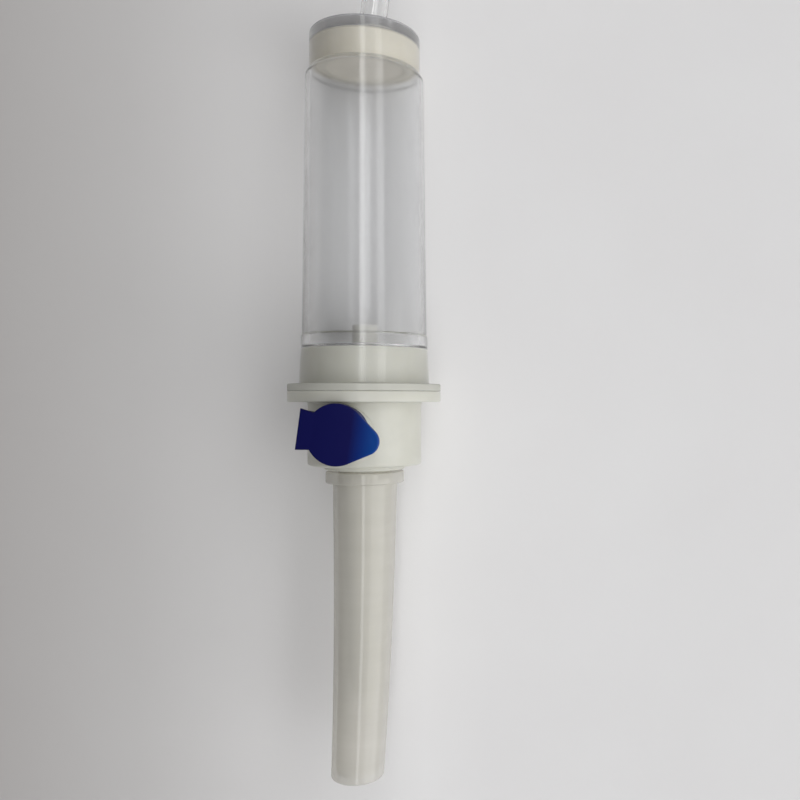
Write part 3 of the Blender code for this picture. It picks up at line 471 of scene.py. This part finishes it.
def paper():
    """Matt paper with fibres."""
    made, tree, out = new_material("paper")
    shader = principled(tree, Roughness=0.9)
    fibres = noise(tree, 1400.0, 6.0, (1.0, 0.25, 1.0))
    colour = ramp(tree, fibres, (0.3, (0.80, 0.79, 0.76)), (0.7, (0.90, 0.89, 0.86)))
    tree.links.new(colour, shader.inputs["Base Color"])
    bump(tree, fibres, 0.00005, shader)
    tree.links.new(shader.outputs["BSDF"], out.inputs["Surface"])
    return made


def table_top():
    """Pale smooth surface with a faint mottle, with painted shade towards its left and painted light near
    the set.
    """
    made, tree, out = new_material("table_top")
    shader = principled(tree, Roughness=0.6)
    place = tree.nodes.new("ShaderNodeNewGeometry").outputs["Position"]
    split = tree.nodes.new("ShaderNodeSeparateXYZ")
    tree.links.new(place, split.inputs["Vector"])
    across = tree.nodes.new("ShaderNodeMapRange")
    across.inputs["From Min"].default_value = -TABLE_REACH
    across.inputs["From Max"].default_value = TABLE_REACH
    tree.links.new(split.outputs["X"], across.inputs["Value"])
    # Painted light and shade across the table, darker at the left and brightest near the set
    base = ramp(tree, across.outputs["Result"], *TABLE)
    mottle = ramp(tree, noise(tree, 30.0, 5.0), (0.3, (0.975, 0.97, 0.97)), (0.7, (1.0, 1.0, 1.0)))
    both = tree.nodes.new("ShaderNodeVectorMath")
    both.operation = "MULTIPLY"
    tree.links.new(base, both.inputs[0])
    tree.links.new(mottle, both.inputs[1])
    tree.links.new(both.outputs["Vector"], shader.inputs["Base Color"])
    bump(tree, noise(tree, 700.0, 4.0), 0.00002, shader)
    tree.links.new(shader.outputs["BSDF"], out.inputs["Surface"])
    return made


def softened(points):
    """A profile from (radius, height, fillet) points, each corner rounded by its fillet."""
    made = []
    for i, (r, h, fillet) in enumerate(points):
        here = Vector((r, h))
        if fillet <= 0:
            made.append((r, h))
            continue
        before = (Vector(points[i - 1][:2]) - here).normalized()
        after = (Vector(points[(i + 1) % len(points)][:2]) - here).normalized()
        half = before.angle(after) / 2
        centre = here + (before + after).normalized() * fillet / math.sin(half)
        first = here + before * fillet / math.tan(half) - centre
        last = here + after * fillet / math.tan(half) - centre
        start = math.atan2(first.y, first.x)
        sweep = math.remainder(math.atan2(last.y, last.x) - start, 2 * math.pi)
        for k in range(FILLET_STEPS + 1):
            a = start + sweep * k / FILLET_STEPS
            made.append((centre.x + fillet * math.cos(a), centre.y + fillet * math.sin(a)))
    return made


def finish_mesh(name, shape, matrix, material):
    """An object from a bmesh, moved by a matrix, with its sharp edges kept."""
    mesh = bpy.data.meshes.new(name)
    bmesh.ops.recalc_face_normals(shape, faces=shape.faces)
    shape.to_mesh(mesh)
    shape.free()
    mesh.transform(matrix)
    mesh.shade_smooth()
    mesh.set_sharp_from_angle(angle=SHARP_ANGLE)
    mesh.materials.append(material)
    obj = bpy.data.objects.new(name, mesh)
    bpy.context.scene.collection.objects.link(obj)
    return obj


def revolved(profile, closed=False, bend=None, steps=STEPS):
    """A solid turned about Z from (radius, height) pairs."""
    shape = bmesh.new()
    rings = []
    for radius, height in profile:
        if radius <= 0:
            spots = [(0.0, 0.0, height)]
        else:
            angles = [2 * math.pi * i / steps for i in range(steps)]
            spots = [(radius * math.cos(a), radius * math.sin(a), height) for a in angles]
        if bend:
            spots = [bend(Vector(spot)) for spot in spots]
        rings.append([shape.verts.new(spot) for spot in spots])
    pairs = list(zip(rings, rings[1:]))
    if closed:
        pairs.append((rings[-1], rings[0]))
    for a, b in pairs:
        for i in range(steps):
            j = (i + 1) % steps
            around = [a[i % len(a)], b[i % len(b)], b[j % len(b)], a[j % len(a)]]
            shape.faces.new(dict.fromkeys(around))
    return shape


def lathe(name, points, matrix, material, closed=False, bend=None, steps=STEPS):
    """A turned piece from (radius, height, fillet) points about the matrix's Z axis."""
    return finish_mesh(name, revolved(softened(points), closed, bend, steps), matrix, material)


def worn_by(body, slot, obj, *replaced):
    """A piece that rides a body and stands for CAD nodes; its slot argument is not used."""
    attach(obj, body)
    if replaced:
        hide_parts(*replaced)
    return obj


def arc(centre, radius, start, end, steps):
    angles = [start + (end - start) * i / steps for i in range(steps + 1)]
    return [(centre[0] + radius * math.cos(a), centre[1] + radius * math.sin(a)) for a in angles]


def plate(name, outline, low, high, round_by, matrix, material):
    """A flat outline made thick, with its rims rounded."""
    shape = bmesh.new()
    ring = [shape.verts.new((x, y, low)) for x, y in outline]
    face = shape.faces.new(ring)
    raised = bmesh.ops.extrude_face_region(shape, geom=[face])
    top = [v for v in raised["geom"] if isinstance(v, bmesh.types.BMVert)]
    bmesh.ops.translate(shape, verts=top, vec=(0.0, 0.0, high - low))
    shape.normal_update()
    rims = [e for e in shape.edges if abs(e.verts[0].co.z - e.verts[1].co.z) < 1e-9]
    bmesh.ops.bevel(
        shape, geom=rims, offset=round_by, segments=3, profile=0.5, affect="EDGES", clamp_overlap=True
    )
    return finish_mesh(name, shape, matrix, material)


def cable(name, points, radius, material):
    """A round curve through closely spaced points."""
    curve = bpy.data.curves.new(name, "CURVE")
    curve.dimensions = "3D"
    curve.bevel_depth = radius
    curve.bevel_resolution = 6
    curve.use_fill_caps = True
    spline = curve.splines.new("POLY")
    spline.points.add(len(points) - 1)
    for point, place in zip(spline.points, points):
        point.co = (*place, 1.0)
    spline.use_smooth = True
    curve.materials.append(material)
    obj = bpy.data.objects.new(name, curve)
    bpy.context.scene.collection.objects.link(obj)
    return obj


def smooth_route(points):
    """Evenly spaced points on one smooth curve through the route's own points."""
    route = [Vector(p) for p in points]
    ends = [2 * route[0] - route[1]] + route + [2 * route[-1] - route[-2]]
    fine = []
    for a, b, c, d in zip(ends, ends[1:], ends[2:], ends[3:]):
        for i in range(ROUTE_STEPS):
            t = i / ROUTE_STEPS
            near = 2 * b + (c - a) * t
            fine.append((near + (2 * a - 5 * b + 4 * c - d) * t**2 + (3 * b - a - 3 * c + d) * t**3) / 2)
    fine.append(route[-1])
    picked = [fine[0]]
    for p in fine[1:-1]:
        if (p - picked[-1]).length >= ROUTE_SPACING:
            picked.append(p)
    return picked + [fine[-1]]


CREAM = moulded("cream_plastic", (0.605, 0.602, 0.535), (0.635, 0.632, 0.565), 0.34, subsurface=0.25)
WARM = moulded("cup_plastic", (0.700, 0.665, 0.570), (0.735, 0.700, 0.605), 0.30, subsurface=0.25)
CLOUDY = moulded("former_plastic", (0.74, 0.73, 0.68), (0.80, 0.79, 0.74), 0.30)
WHITE = moulded("clamp_plastic", (0.72, 0.74, 0.75), (0.78, 0.80, 0.80), 0.36, subsurface=0.15)
FIBRE = moulded("white_fibre", (0.80, 0.760, 0.670), (0.85, 0.810, 0.720), 0.85, grain=0.00006)
BLUE = blue_plastic()
PAPER = paper()
CLEAR = clear_plastic("clear_plastic", (0.95, 0.955, 0.96), (0.12, 0.16), 1.50, shadow=0.90)
TUBING = clear_plastic("tubing_plastic", (0.97, 0.975, 0.975), (0.05, 0.08), 1.52)
BORE = clear_plastic("tubing_bore", (1.0, 1.0, 1.0), (0.02, 0.02), 1.0 / 1.52, shadow=1.0)
MILKY = cloudy_plastic(
    "milky_plastic",
    low=(0.80, 0.79, 0.755),
    high=(0.84, 0.83, 0.80),
    roughness=0.08,
    seen=0.50,
    lit=0.62,
    pass_colour=(0.96, 0.95, 0.92),
    glow=0.35,
)
# Grey painted on the clear end disc: painted shade for the dark that its refraction shows, with a little
# haze
END_PAINTED_SHADE = cloudy_plastic(
    "end_painted_shade_plastic",
    low=(0.46, 0.46, 0.47),
    high=(0.52, 0.52, 0.53),
    roughness=0.18,
    seen=0.45,
    lit=0.80,
    pass_colour=(0.90, 0.90, 0.91),
)
# Pale cream painted on the plug's clear inner faces: painted light in place of the dark line that their
# refraction draws
PLUG_PAINTED_LIGHT = cloudy_plastic(
    "plug_painted_light_plastic",
    low=(0.72, 0.685, 0.59),
    high=(0.755, 0.72, 0.625),
    roughness=0.10,
    seen=0.30,
    lit=0.70,
    pass_colour=(0.98, 0.97, 0.94),
)
# Cream-grey painted on the clear lip over the flange: painted light in place of the dark lines its
# refraction draws, standing for the flange seen through it
LIP_PAINTED_LIGHT = cloudy_plastic(
    "lip_painted_light_plastic",
    low=(0.58, 0.58, 0.525),
    high=(0.63, 0.63, 0.575),
    roughness=0.20,
    seen=0.20,
    lit=0.60,
    pass_colour=(0.95, 0.95, 0.92),
)


def chamber():
    """Barrel and outlet end as one clear solid, since they are bonded with no gap between them."""
    profile = [
        (OUTLET_INNER, CUP_MOUTH, 0),
        (BARREL_RADIUS_FAR - BARREL_WALL, CUP_MOUTH, 0),
        (BARREL_RADIUS_NEAR - BARREL_WALL, NECK_TOP, 0.0001),
        (BEAD_RADIUS, NECK_TOP - SHOULDER_STEP, 0.0001),
        (BEAD_RADIUS, BEAD_BASE, 0.0001),
        (SPIGOT_RADIUS - SPIGOT_PRESS, SPIGOT_TOP, 0),
        (SPIGOT_RADIUS - SPIGOT_PRESS, LIP_BASE, 0),
        (FLANGE_RADIUS, LIP_BASE, 0.00008),
        (FLANGE_RADIUS, LIP_TOP, 0.0002),
        (NECK_RADIUS, LIP_TOP, 0.00025),
        (BARREL_RADIUS_NEAR + SHOULDER_STEP, SPIGOT_TOP, 0),
        (BARREL_RADIUS_NEAR + SHOULDER_STEP, NECK_TOP - SHOULDER_STEP, 0.00005),
        (BARREL_RADIUS_NEAR, NECK_TOP, 0.00005),
        (BARREL_RADIUS_FAR, BARREL_END, 0.0002),
        (OUTLET_RADIUS, BARREL_END, 0.0001),
        (OUTLET_RADIUS, OUTLET_END, 0.0004),
        (TUBE_RADIUS + SOCKET_FIT, OUTLET_END, 0.0001),
        (TUBE_RADIUS + SOCKET_FIT, SOCKET_SEAT, 0),
        (TUBE_BORE, SOCKET_SEAT, 0),
        (TUBE_BORE, SOCKET_SEAT - SOCKET_STEP, 0),
        (SOCKET_RADIUS, SOCKET_SEAT - SOCKET_STEP, 0.0001),
        (SOCKET_RADIUS, OUTLET_END - OUTLET_DISC, 0.0002),
        (OUTLET_INNER, OUTLET_END - OUTLET_DISC, 0.0002),
    ]

    def offset(spot):
        beyond = spot.z > BARREL_END + OFFSET_PAST_BARREL
        inner = (OUTLET_INNER - OFFSET_INSIDE_WALL - spot.xy.length) / OFFSET_EASE
        return spot + Vector((OUTLET_OFFSET * max(0.0, min(1.0, inner)) if beyond else 0.0, 0.0, 0.0))

    obj = lathe("chamber", profile, SET, CLEAR, closed=True, bend=offset)
    # The end disc is painted grey as painted shade; the plug's inner faces and the lip over the flange
    # are painted pale as painted light
    for material in (END_PAINTED_SHADE, PLUG_PAINTED_LIGHT, LIP_PAINTED_LIGHT):
        obj.data.materials.append(material)
    hazy, thin, bonded = 1, 2, 3
    back = SET.inverted()
    for face in obj.data.polygons:
        spot = back @ face.center
        radius = spot.xy.length
        if spot.z > CUP_END:
            face.material_index = hazy
        elif spot.z > BARREL_END - PLUG_MARGIN and radius < BARREL_RADIUS_FAR - BARREL_WALL - BORE_MARGIN:
            face.material_index = thin
        elif spot.z < LIP_TOP and radius > NECK_RADIUS + LIP_MARGIN:
            face.material_index = bonded
    worn_by("set", "clear_plastic", obj, "drip_chamber", "outlet_cap")


def cup():
    """The cream filter cup, seated in the outlet end, and the filter in its mouth."""
    radius = OUTLET_INNER + CUP_PRESS
    profile = [
        (radius, CUP_END, 0.0002),
        (radius, CUP_MOUTH, 0.0002),
        (FILTER_RADIUS, CUP_MOUTH, 0.00004),
        (FILTER_RADIUS, CUP_MOUTH + FILTER_DEPTH, 0),
        (CUP_BORE, CUP_MOUTH + FILTER_DEPTH, 0),
        (CUP_BORE, CUP_END - CUP_FLOOR, 0.0002),
        (CUP_HOLE, CUP_END - CUP_FLOOR, 0),
        (CUP_HOLE, CUP_END, 0),
    ]
    obj = lathe("filter_holder", profile, SET, WARM, closed=True)
    worn_by("set", "cream_plastic", obj, "filter_cup")

    disc = [
        (0.0, CUP_MOUTH + FILTER_DEPTH, 0),
        (FILTER_RADIUS, CUP_MOUTH + FILTER_DEPTH, 0),
        (FILTER_RADIUS, CUP_MOUTH + FILTER_INSET, 0),
        (0.0, CUP_MOUTH + FILTER_INSET, 0),
    ]
    worn_by("set", "white_fibre", lathe("filter_disc", disc, SET, FIBRE), "filter_mesh")


def former():
    """The drop former, a short cloudy tube."""
    profile = [
        (FORMER_RADIUS, FORMER_HIGH, 0.00015),
        (FORMER_RADIUS, FORMER_LOW, 0),
        (FORMER_BORE, FORMER_LOW, 0),
        (FORMER_BORE, FORMER_HIGH, 0.0001),
    ]
    obj = lathe("drop_former", profile, SET, CLOUDY, closed=True, steps=64)
    worn_by("set", "clear_plastic", obj, "drip_tube")


def cylinder(radius, low, high, matrix, centre):
    """A plain cylinder that another piece is bored with."""
    points = [(0.0, high, 0), (radius, high, 0), (radius, low, 0), (0.0, low, 0)]
    place = matrix @ Matrix.Translation((*centre, 0.0))
    return lathe("bore", points, place, CREAM, steps=32)


def bored(obj, cutters):
    """Takes the cutters' shapes out of an object for good."""
    for cutter in cutters:
        change = obj.modifiers.new("bore", "BOOLEAN")
        change.operation = "DIFFERENCE"
        change.solver = "EXACT"
        change.object = cutter
    bpy.context.view_layer.update()
    mesh = bpy.data.meshes.new_from_object(obj.evaluated_get(bpy.context.evaluated_depsgraph_get()))
    obj.modifiers.clear()
    obj.data = mesh
    for cutter in cutters:
        bpy.data.objects.remove(cutter)


def slice_point(shape):
    """Cuts the spike's point with two slanted planes, which meet a little beside the axis."""
    for side, length in ((1, POINT_LENGTH), (-1, POINT_SHORT_LENGTH)):
        start = Vector((side * SPIKE_RADIUS_FAR, 0.0, SPIKE_END + length))
        run = (Vector((POINT_OFFSET, 0.0, SPIKE_END)) - start).normalized()
        outward = Vector((-run.z, 0.0, run.x)) * side
        near = [v for v in shape.verts if v.co.z < SPIKE_END + POINT_LENGTH + POINT_MARGIN]
        touched = set(near)
        edges = [e for e in shape.edges if touched & {*e.verts}]
        faces = [f for f in shape.faces if touched & {*f.verts}]
        cut = bmesh.ops.bisect_plane(
            shape, geom=[*near, *edges, *faces], plane_co=start, plane_no=outward, clear_outer=True
        )
        rim = [part for part in cut["geom_cut"] if isinstance(part, bmesh.types.BMEdge)]
        bmesh.ops.holes_fill(shape, edges=rim)


def moulding():
    """Flange, hub, spigot, column and spike, with the spike's point sliced and its channels bored."""
    profile = [
        (0.0, COLUMN_TOP, 0),
        (COLUMN_RADIUS, COLUMN_TOP, 0.0002),
        (COLUMN_RADIUS, CAVITY_FLOOR, 0.0003),
        (CAVITY_RADIUS, CAVITY_FLOOR, 0.0003),
        (CAVITY_RADIUS, SPIGOT_TOP, 0.0002),
        (SPIGOT_RADIUS, SPIGOT_TOP, 0.0002),
        (SPIGOT_RADIUS, FLANGE_THICKNESS, 0),
        (FLANGE_RADIUS, FLANGE_THICKNESS, 0.00015),
        (FLANGE_RADIUS, 0.0, 0.0002),
        (HUB_RADIUS, 0.0, 0.0003),
        (HUB_RADIUS, HUB_END, 0.0005),
        (SHOULDER_RADIUS, HUB_END, 0.0001),
        (SHOULDER_RADIUS, SHOULDER_END, 0.0001),
        (ROOT_RADIUS, SHOULDER_END, 0.0001),
        (ROOT_RADIUS, ROOT_END, 0.0002),
        (SPIKE_RADIUS_NEAR, ROOT_END - ROOT_STEP, 0.0002),
        (SPIKE_RADIUS_FAR, SPIKE_END + POINT_LENGTH, 0.002),
        (SPIKE_RADIUS_FAR, SPIKE_END, 0),
        (0.0, SPIKE_END, 0),
    ]
    shape = revolved(softened(profile))
    slice_point(shape)
    body = finish_mesh("moulding", shape, SET, CREAM)
    air = Vector((-math.sin(VENT_ROLL), -math.cos(VENT_ROLL))) * CHANNEL_OFFSET
    low = SPIKE_END - CHANNEL_PAST
    high = SPIKE_END + 2 * POINT_LENGTH
    bored(body, [cylinder(CHANNEL_RADIUS, low, high, SET, centre) for centre in (air, -air)])
    worn_by("set", "cream_plastic", body, "spike_body")


def vent_port():
    """The boss on the hub's side that the blue ring closes."""
    profile = [
        (0.0, VENT_SEAT, 0),
        (VENT_BORE_RADIUS, VENT_SEAT, 0.0001),
        (VENT_BORE_RADIUS, BOSS_TOP, 0.0001),
        (BOSS_RADIUS, BOSS_TOP, 0.0002),
        (BOSS_RADIUS, BOSS_BASE, 0),
        (0.0, BOSS_BASE, 0),
    ]
    worn_by("set", "cream_plastic", lathe("vent_port", profile, VENT, CREAM, steps=96))


def sheath():
    """The milky sheath, bowed a little to the left towards its end."""

    def bow(spot):
        share = max(0.0, COVER_FOOT - spot.z) / (COVER_FOOT - COVER_END)
        return spot - Vector((COVER_BEND * share * share, 0.0, 0.0))

    near = Vector((COVER_RADIUS_NEAR, COVER_FOOT))
    far = Vector((COVER_RADIUS_FAR, COVER_END))
    wall = Vector((-COVER_WALL, 0.0))
    shares = [i / COVER_STEPS for i in range(1, COVER_STEPS)]
    outer = [(*near.lerp(far, share), 0) for share in shares]
    inner = [(*(far + wall).lerp(near + wall, share), 0) for share in shares]
    profile = [
        (0.0, COVER_END + COVER_WALL, 0),
        (COVER_RADIUS_FAR - COVER_WALL, COVER_END + COVER_WALL, 0.0006),
        *inner,
        (COVER_RADIUS_NEAR - COVER_WALL, COVER_FOOT, 0),
        (COVER_RADIUS_NEAR - COVER_WALL, COVER_MOUTH, 0.0001),
        (COLLAR_RADIUS, COVER_MOUTH, 0.0002),
        (COLLAR_RADIUS, COVER_FOOT, 0.0002),
        (COVER_RADIUS_NEAR, COVER_FOOT, 0.0001),
        *outer,
        (COVER_RADIUS_FAR, COVER_END, 0.0004),
        (0.0, COVER_END, 0),
    ]
    obj = lathe("sheath", profile, SET, MILKY, bend=bow)
    worn_by("cover", "milky_plastic", obj, "spike_cover")


def lid():
    """The blue vent lid: a disc with a round finger tab and a hinge strap, on a short wall and a plug."""
    tab = Vector(TAB_PLACE)
    heading = math.atan2(tab.y, tab.x)
    spread = math.acos((LID_RADIUS - TAB_RADIUS) / tab.length)
    half = HINGE_WIDTH / 2
    root = math.asin(HINGE_ROOT_WIDTH / 2 / LID_RADIUS)
    outline = [(-HINGE_REACH, half), (-HINGE_REACH, -half)]
    outline += arc((0.0, 0.0), LID_RADIUS, math.pi + root, 2 * math.pi + heading - spread, 60)
    outline += arc(tab, TAB_RADIUS, heading - spread, heading + spread, 40)
    outline += arc((0.0, 0.0), LID_RADIUS, heading + spread, math.pi - root, 60)
    top = plate("lid_plate", outline, LID_TOP - TAB_THICKNESS, LID_TOP, LID_RIM, CAP, BLUE)
    worn_by("vent_lid", "blue_plastic", top, "vent_cap_lid")

    radius = LID_RADIUS - LID_WALL_INSET
    wall = [
        (0.0, LID_TOP - LID_RIM, 0),
        (radius, LID_TOP - LID_RIM, 0),
        (radius, LID_BASE, 0.0001),
        (PLUG_RADIUS, LID_BASE, 0.0001),
        (PLUG_RADIUS, LID_BASE - PLUG_LENGTH, 0.0001),
        (PLUG_BORE, LID_BASE - PLUG_LENGTH, 0.0001),
        (PLUG_BORE, LID_BASE, 0),
        (0.0, LID_BASE, 0),
    ]
    worn_by("vent_lid", "blue_plastic", lathe("lid_wall", wall, CAP, BLUE, steps=96))


def hinge_web():
    """The thin web that joins the lid's strap to the ring's, built straight and riding no body."""
    shape = bmesh.new()
    half = HINGE_ROOT_WIDTH / 2
    low = RING_TOP - WEB_IN_RING
    high = LID_BASE + WEB_IN_LID
    corners = ((0.0, -half), (WEB_THICKNESS, -half), (WEB_THICKNESS, half), (0.0, half))
    rings = []
    for i in range(WEB_ROWS + 1):
        height = low + (high - low) * i / WEB_ROWS
        rings.append([shape.verts.new((-HINGE_REACH + x, y, height)) for x, y in corners])
    for a, b in zip(rings, rings[1:]):
        for i in range(4):
            shape.faces.new((a[i], a[(i + 1) % 4], b[(i + 1) % 4], b[i]))
    shape.faces.new(rings[0])
    shape.faces.new(reversed(rings[-1]))
    web = finish_mesh("lid_web", shape, CAP, BLUE)
    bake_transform(web)


def dress_nodes():
    """Materials for the CAD nodes that stay in view."""
    chosen = {
        "vent_filter": FIBRE,
        "vent_cap_ring": BLUE,
        "clamp_body": WHITE,
        "clamp_roller": WHITE,
        "luer_connector": CLEAR,
        "luer_collar": WHITE,
        "luer_cap": BLUE,
        "hank_tie": PAPER,
    }
    for name, material in chosen.items():
        data = nodes[name].data
        data.materials.clear()
        data.materials.append(material)
        data.shade_smooth()
        data.set_sharp_from_angle(angle=SHARP_ANGLE)


def turn_length(radius):
    return 2 * HANK_STRAIGHT + 2 * math.pi * radius


def stadium_point(radius, along, height):
    """A point along a hank's turn, measured from the near end of its right side."""
    far = HANK_NEAR + HANK_STRAIGHT
    along = along % turn_length(radius)
    bend = math.pi * radius
    if along < HANK_STRAIGHT:
        return Vector((HANK_X + radius, HANK_NEAR + along, height))
    along -= HANK_STRAIGHT
    if along < bend:
        a = along / radius
        return Vector((HANK_X + radius * math.cos(a), far + radius * math.sin(a), height))
    along -= bend
    if along < HANK_STRAIGHT:
        return Vector((HANK_X - radius, far - along, height))
    a = math.pi + (along - HANK_STRAIGHT) / radius
    return Vector((HANK_X + radius * math.cos(a), HANK_NEAR + radius * math.sin(a), height))


def hank_route():
    """Up the inner turns, across on the left side, and down the outer turns."""
    points = []
    inner_turn = turn_length(HANK_INNER)
    inner_run = INNER_TURNS * inner_turn
    count = round(inner_run / HANK_SPACING)
    for i in range(count):
        along = inner_run * i / count
        points.append(stadium_point(HANK_INNER, along, HANK_LOW + HANK_PITCH * along / inner_turn))

    low = HANK_LOW + INNER_TURNS * HANK_PITCH
    high = HANK_LOW + OUTER_TURNS * HANK_PITCH
    count = round(HANK_STRAIGHT / HANK_SPACING)
    for i in range(count):
        t = i / count
        shift = max(0.0, min(1.0, (t - CROSSING_START) / CROSSING_SHARE))
        shift = shift * shift * (3 - 2 * shift)
        lift = math.sin(min(1.0, t / LIFT_SHARE) * math.pi / 2)
        x = HANK_X - HANK_INNER - (HANK_OUTER - HANK_INNER) * shift
        points.append(Vector((x, HANK_NEAR + HANK_STRAIGHT * (1 - t), low + (high - low) * lift)))

    outer_turn = turn_length(HANK_OUTER)
    start = 2 * HANK_STRAIGHT + math.pi * HANK_OUTER
    outer_run = OUTER_TURNS * outer_turn
    count = round(outer_run / HANK_SPACING)
    for i in range(count + 1):
        along = outer_run * i / count
        points.append(stadium_point(HANK_OUTER, start + along, high - HANK_PITCH * along / outer_turn))
    return points


def bored_cable(name, points, *replaced):
    """Tubing along a route: its outside, and its bore, where light leaves the plastic again."""
    outside = worn_by("set", "tubing_plastic", cable(name, points, TUBE_RADIUS, TUBING), *replaced)
    bore = worn_by("set", "tubing_plastic", cable(name + "_bore", points, TUBE_BORE, BORE))
    return outside, bore


def tubing():
    """The tubing from the outlet to the clamp, and from the clamp through the hank to the connector."""
    seat = SET @ Vector((OUTLET_OFFSET, 0.0, OUTLET_END - TUBE_SEATED))
    leave = SET @ Vector((OUTLET_OFFSET, 0.0, OUTLET_END + TUBE_STRAIGHT))
    clamp_in = Vector((CLAMP_X, CLAMP_Y, CLAMP_TUBE_Z))
    clamp_out = clamp_in + Vector((0.0, CLAMP_LENGTH, 0.0))
    along = Vector((0.0, CLAMP_END, 0.0))

    # The stretch under the roller is its own piece: a plain round tube with its own mesh
    length = CLAMP_LENGTH - 2 * CLAMP_END - 2 * PINCH_GAP
    ring = [(TUBE_RADIUS, 0.0, 0), (TUBE_RADIUS, length, 0), (TUBE_BORE, length, 0), (TUBE_BORE, 0.0, 0)]
    start = clamp_in + along + Vector((0.0, PINCH_GAP, 0.0))
    place = Matrix.Translation(start) @ Matrix.Rotation(-math.pi / 2, 4, "X")
    pinch = lathe("tubing_pinch", ring, place, TUBING, closed=True, steps=48)
    worn_by("set", "tubing_plastic", pinch, "tube_pinch")
    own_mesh(pinch)

    lead = [seat] + smooth_route([leave, *LEAD_POINTS, clamp_in - along]) + [clamp_in + along]
    first, first_bore = bored_cable("tubing_lead", lead, "tube_lead")

    turns = hank_route()
    before = [turns[0] - Vector((0.0, ahead, 0.0)) for ahead in RUN_IN]
    after = [turns[-1] - Vector((0.0, past, 0.0)) for past in RUN_OUT]
    run = smooth_route([clamp_out + along, *before])
    tail = smooth_route([*after, *TAIL_POINTS, Vector(LUER_MOUTH) + along])
    end = Vector(LUER_MOUTH) - Vector((0.0, LUER_SEAT, 0.0))
    route = [clamp_out - along, *run, *turns, *tail, end]
    second, second_bore = bored_cable("tubing_run", route, "tube_run", "tube_hank", "tube_tail")


def table():
    mesh = bpy.data.meshes.new("table_surface")
    corners = [
        (-TABLE_HALF, -TABLE_HALF, 0.0),
        (TABLE_HALF, -TABLE_HALF, 0.0),
        (TABLE_HALF, TABLE_HALF, 0.0),
        (-TABLE_HALF, TABLE_HALF, 0.0),
    ]
    mesh.from_pydata(corners, [], [(0, 1, 2, 3)])
    mesh.materials.append(table_top())
    obj = bpy.data.objects.new("table_surface", mesh)
    bpy.context.scene.collection.objects.link(obj)
    obj.location = (0.0, 0.0, -TABLE_DROP)


def lamp(name, place, size, power):
    """A rectangular lamp that faces the origin, its second size along the set."""
    data = bpy.data.lights.new(name, "AREA")
    data.shape = "RECTANGLE"
    data.size, data.size_y = size
    data.energy = power
    obj = bpy.data.objects.new(name, data)
    place = Vector(place)
    back = place.normalized()
    across = Vector((0.0, 1.0, 0.0)).cross(back).normalized()
    turned = Matrix((across, back.cross(across), back)).transposed().to_4x4()
    obj.matrix_world = Matrix.Translation(place) @ turned
    bpy.context.scene.collection.objects.link(obj)


def sky():
    """Plain soft light, weakest from the left and strongest from the right."""
    world = bpy.data.worlds.new("world")
    bpy.context.scene.world = world
    world.use_nodes = True
    tree = world.node_tree
    split = tree.nodes.new("ShaderNodeSeparateXYZ")
    tree.links.new(tree.nodes.new("ShaderNodeTexCoord").outputs["Generated"], split.inputs["Vector"])
    side = tree.nodes.new("ShaderNodeMapRange")
    side.inputs["From Min"].default_value = -1.0
    tree.links.new(split.outputs["X"], side.inputs["Value"])
    shade = ramp(tree, side.outputs["Result"], *SKY)
    tree.links.new(shade, tree.nodes["Background"].inputs["Color"])


def lights():
    """Three long lamps along the set, above it and to its right, and a window at the right."""
    lamp("strip_near", (-0.030, 0.0, 0.60), (0.10, 1.2), 1.3)
    lamp("panel", (0.15, 0.0, 0.60), (0.28, 1.2), 0.75)
    lamp("strip_right", (0.38, 0.0, 0.60), (0.17, 1.2), 1.25)
    lamp("window", (0.85, -0.40, 0.50), (0.7, 0.7), 2.7)


def settings():
    scene = bpy.context.scene
    scene.view_settings.view_transform = "Standard"
    scene.cycles.use_denoising = True
    scene.cycles.max_bounces = 16
    scene.cycles.transmission_bounces = 14
    scene.cycles.transparent_max_bounces = 16
    scene.cycles.caustics_reflective = False
    scene.cycles.caustics_refractive = False


place_camera()
tubing()
chamber()
cup()
former()
moulding()
vent_port()
sheath()
lid()
hinge_web()
dress_nodes()
table()
sky()
lights()
settings()
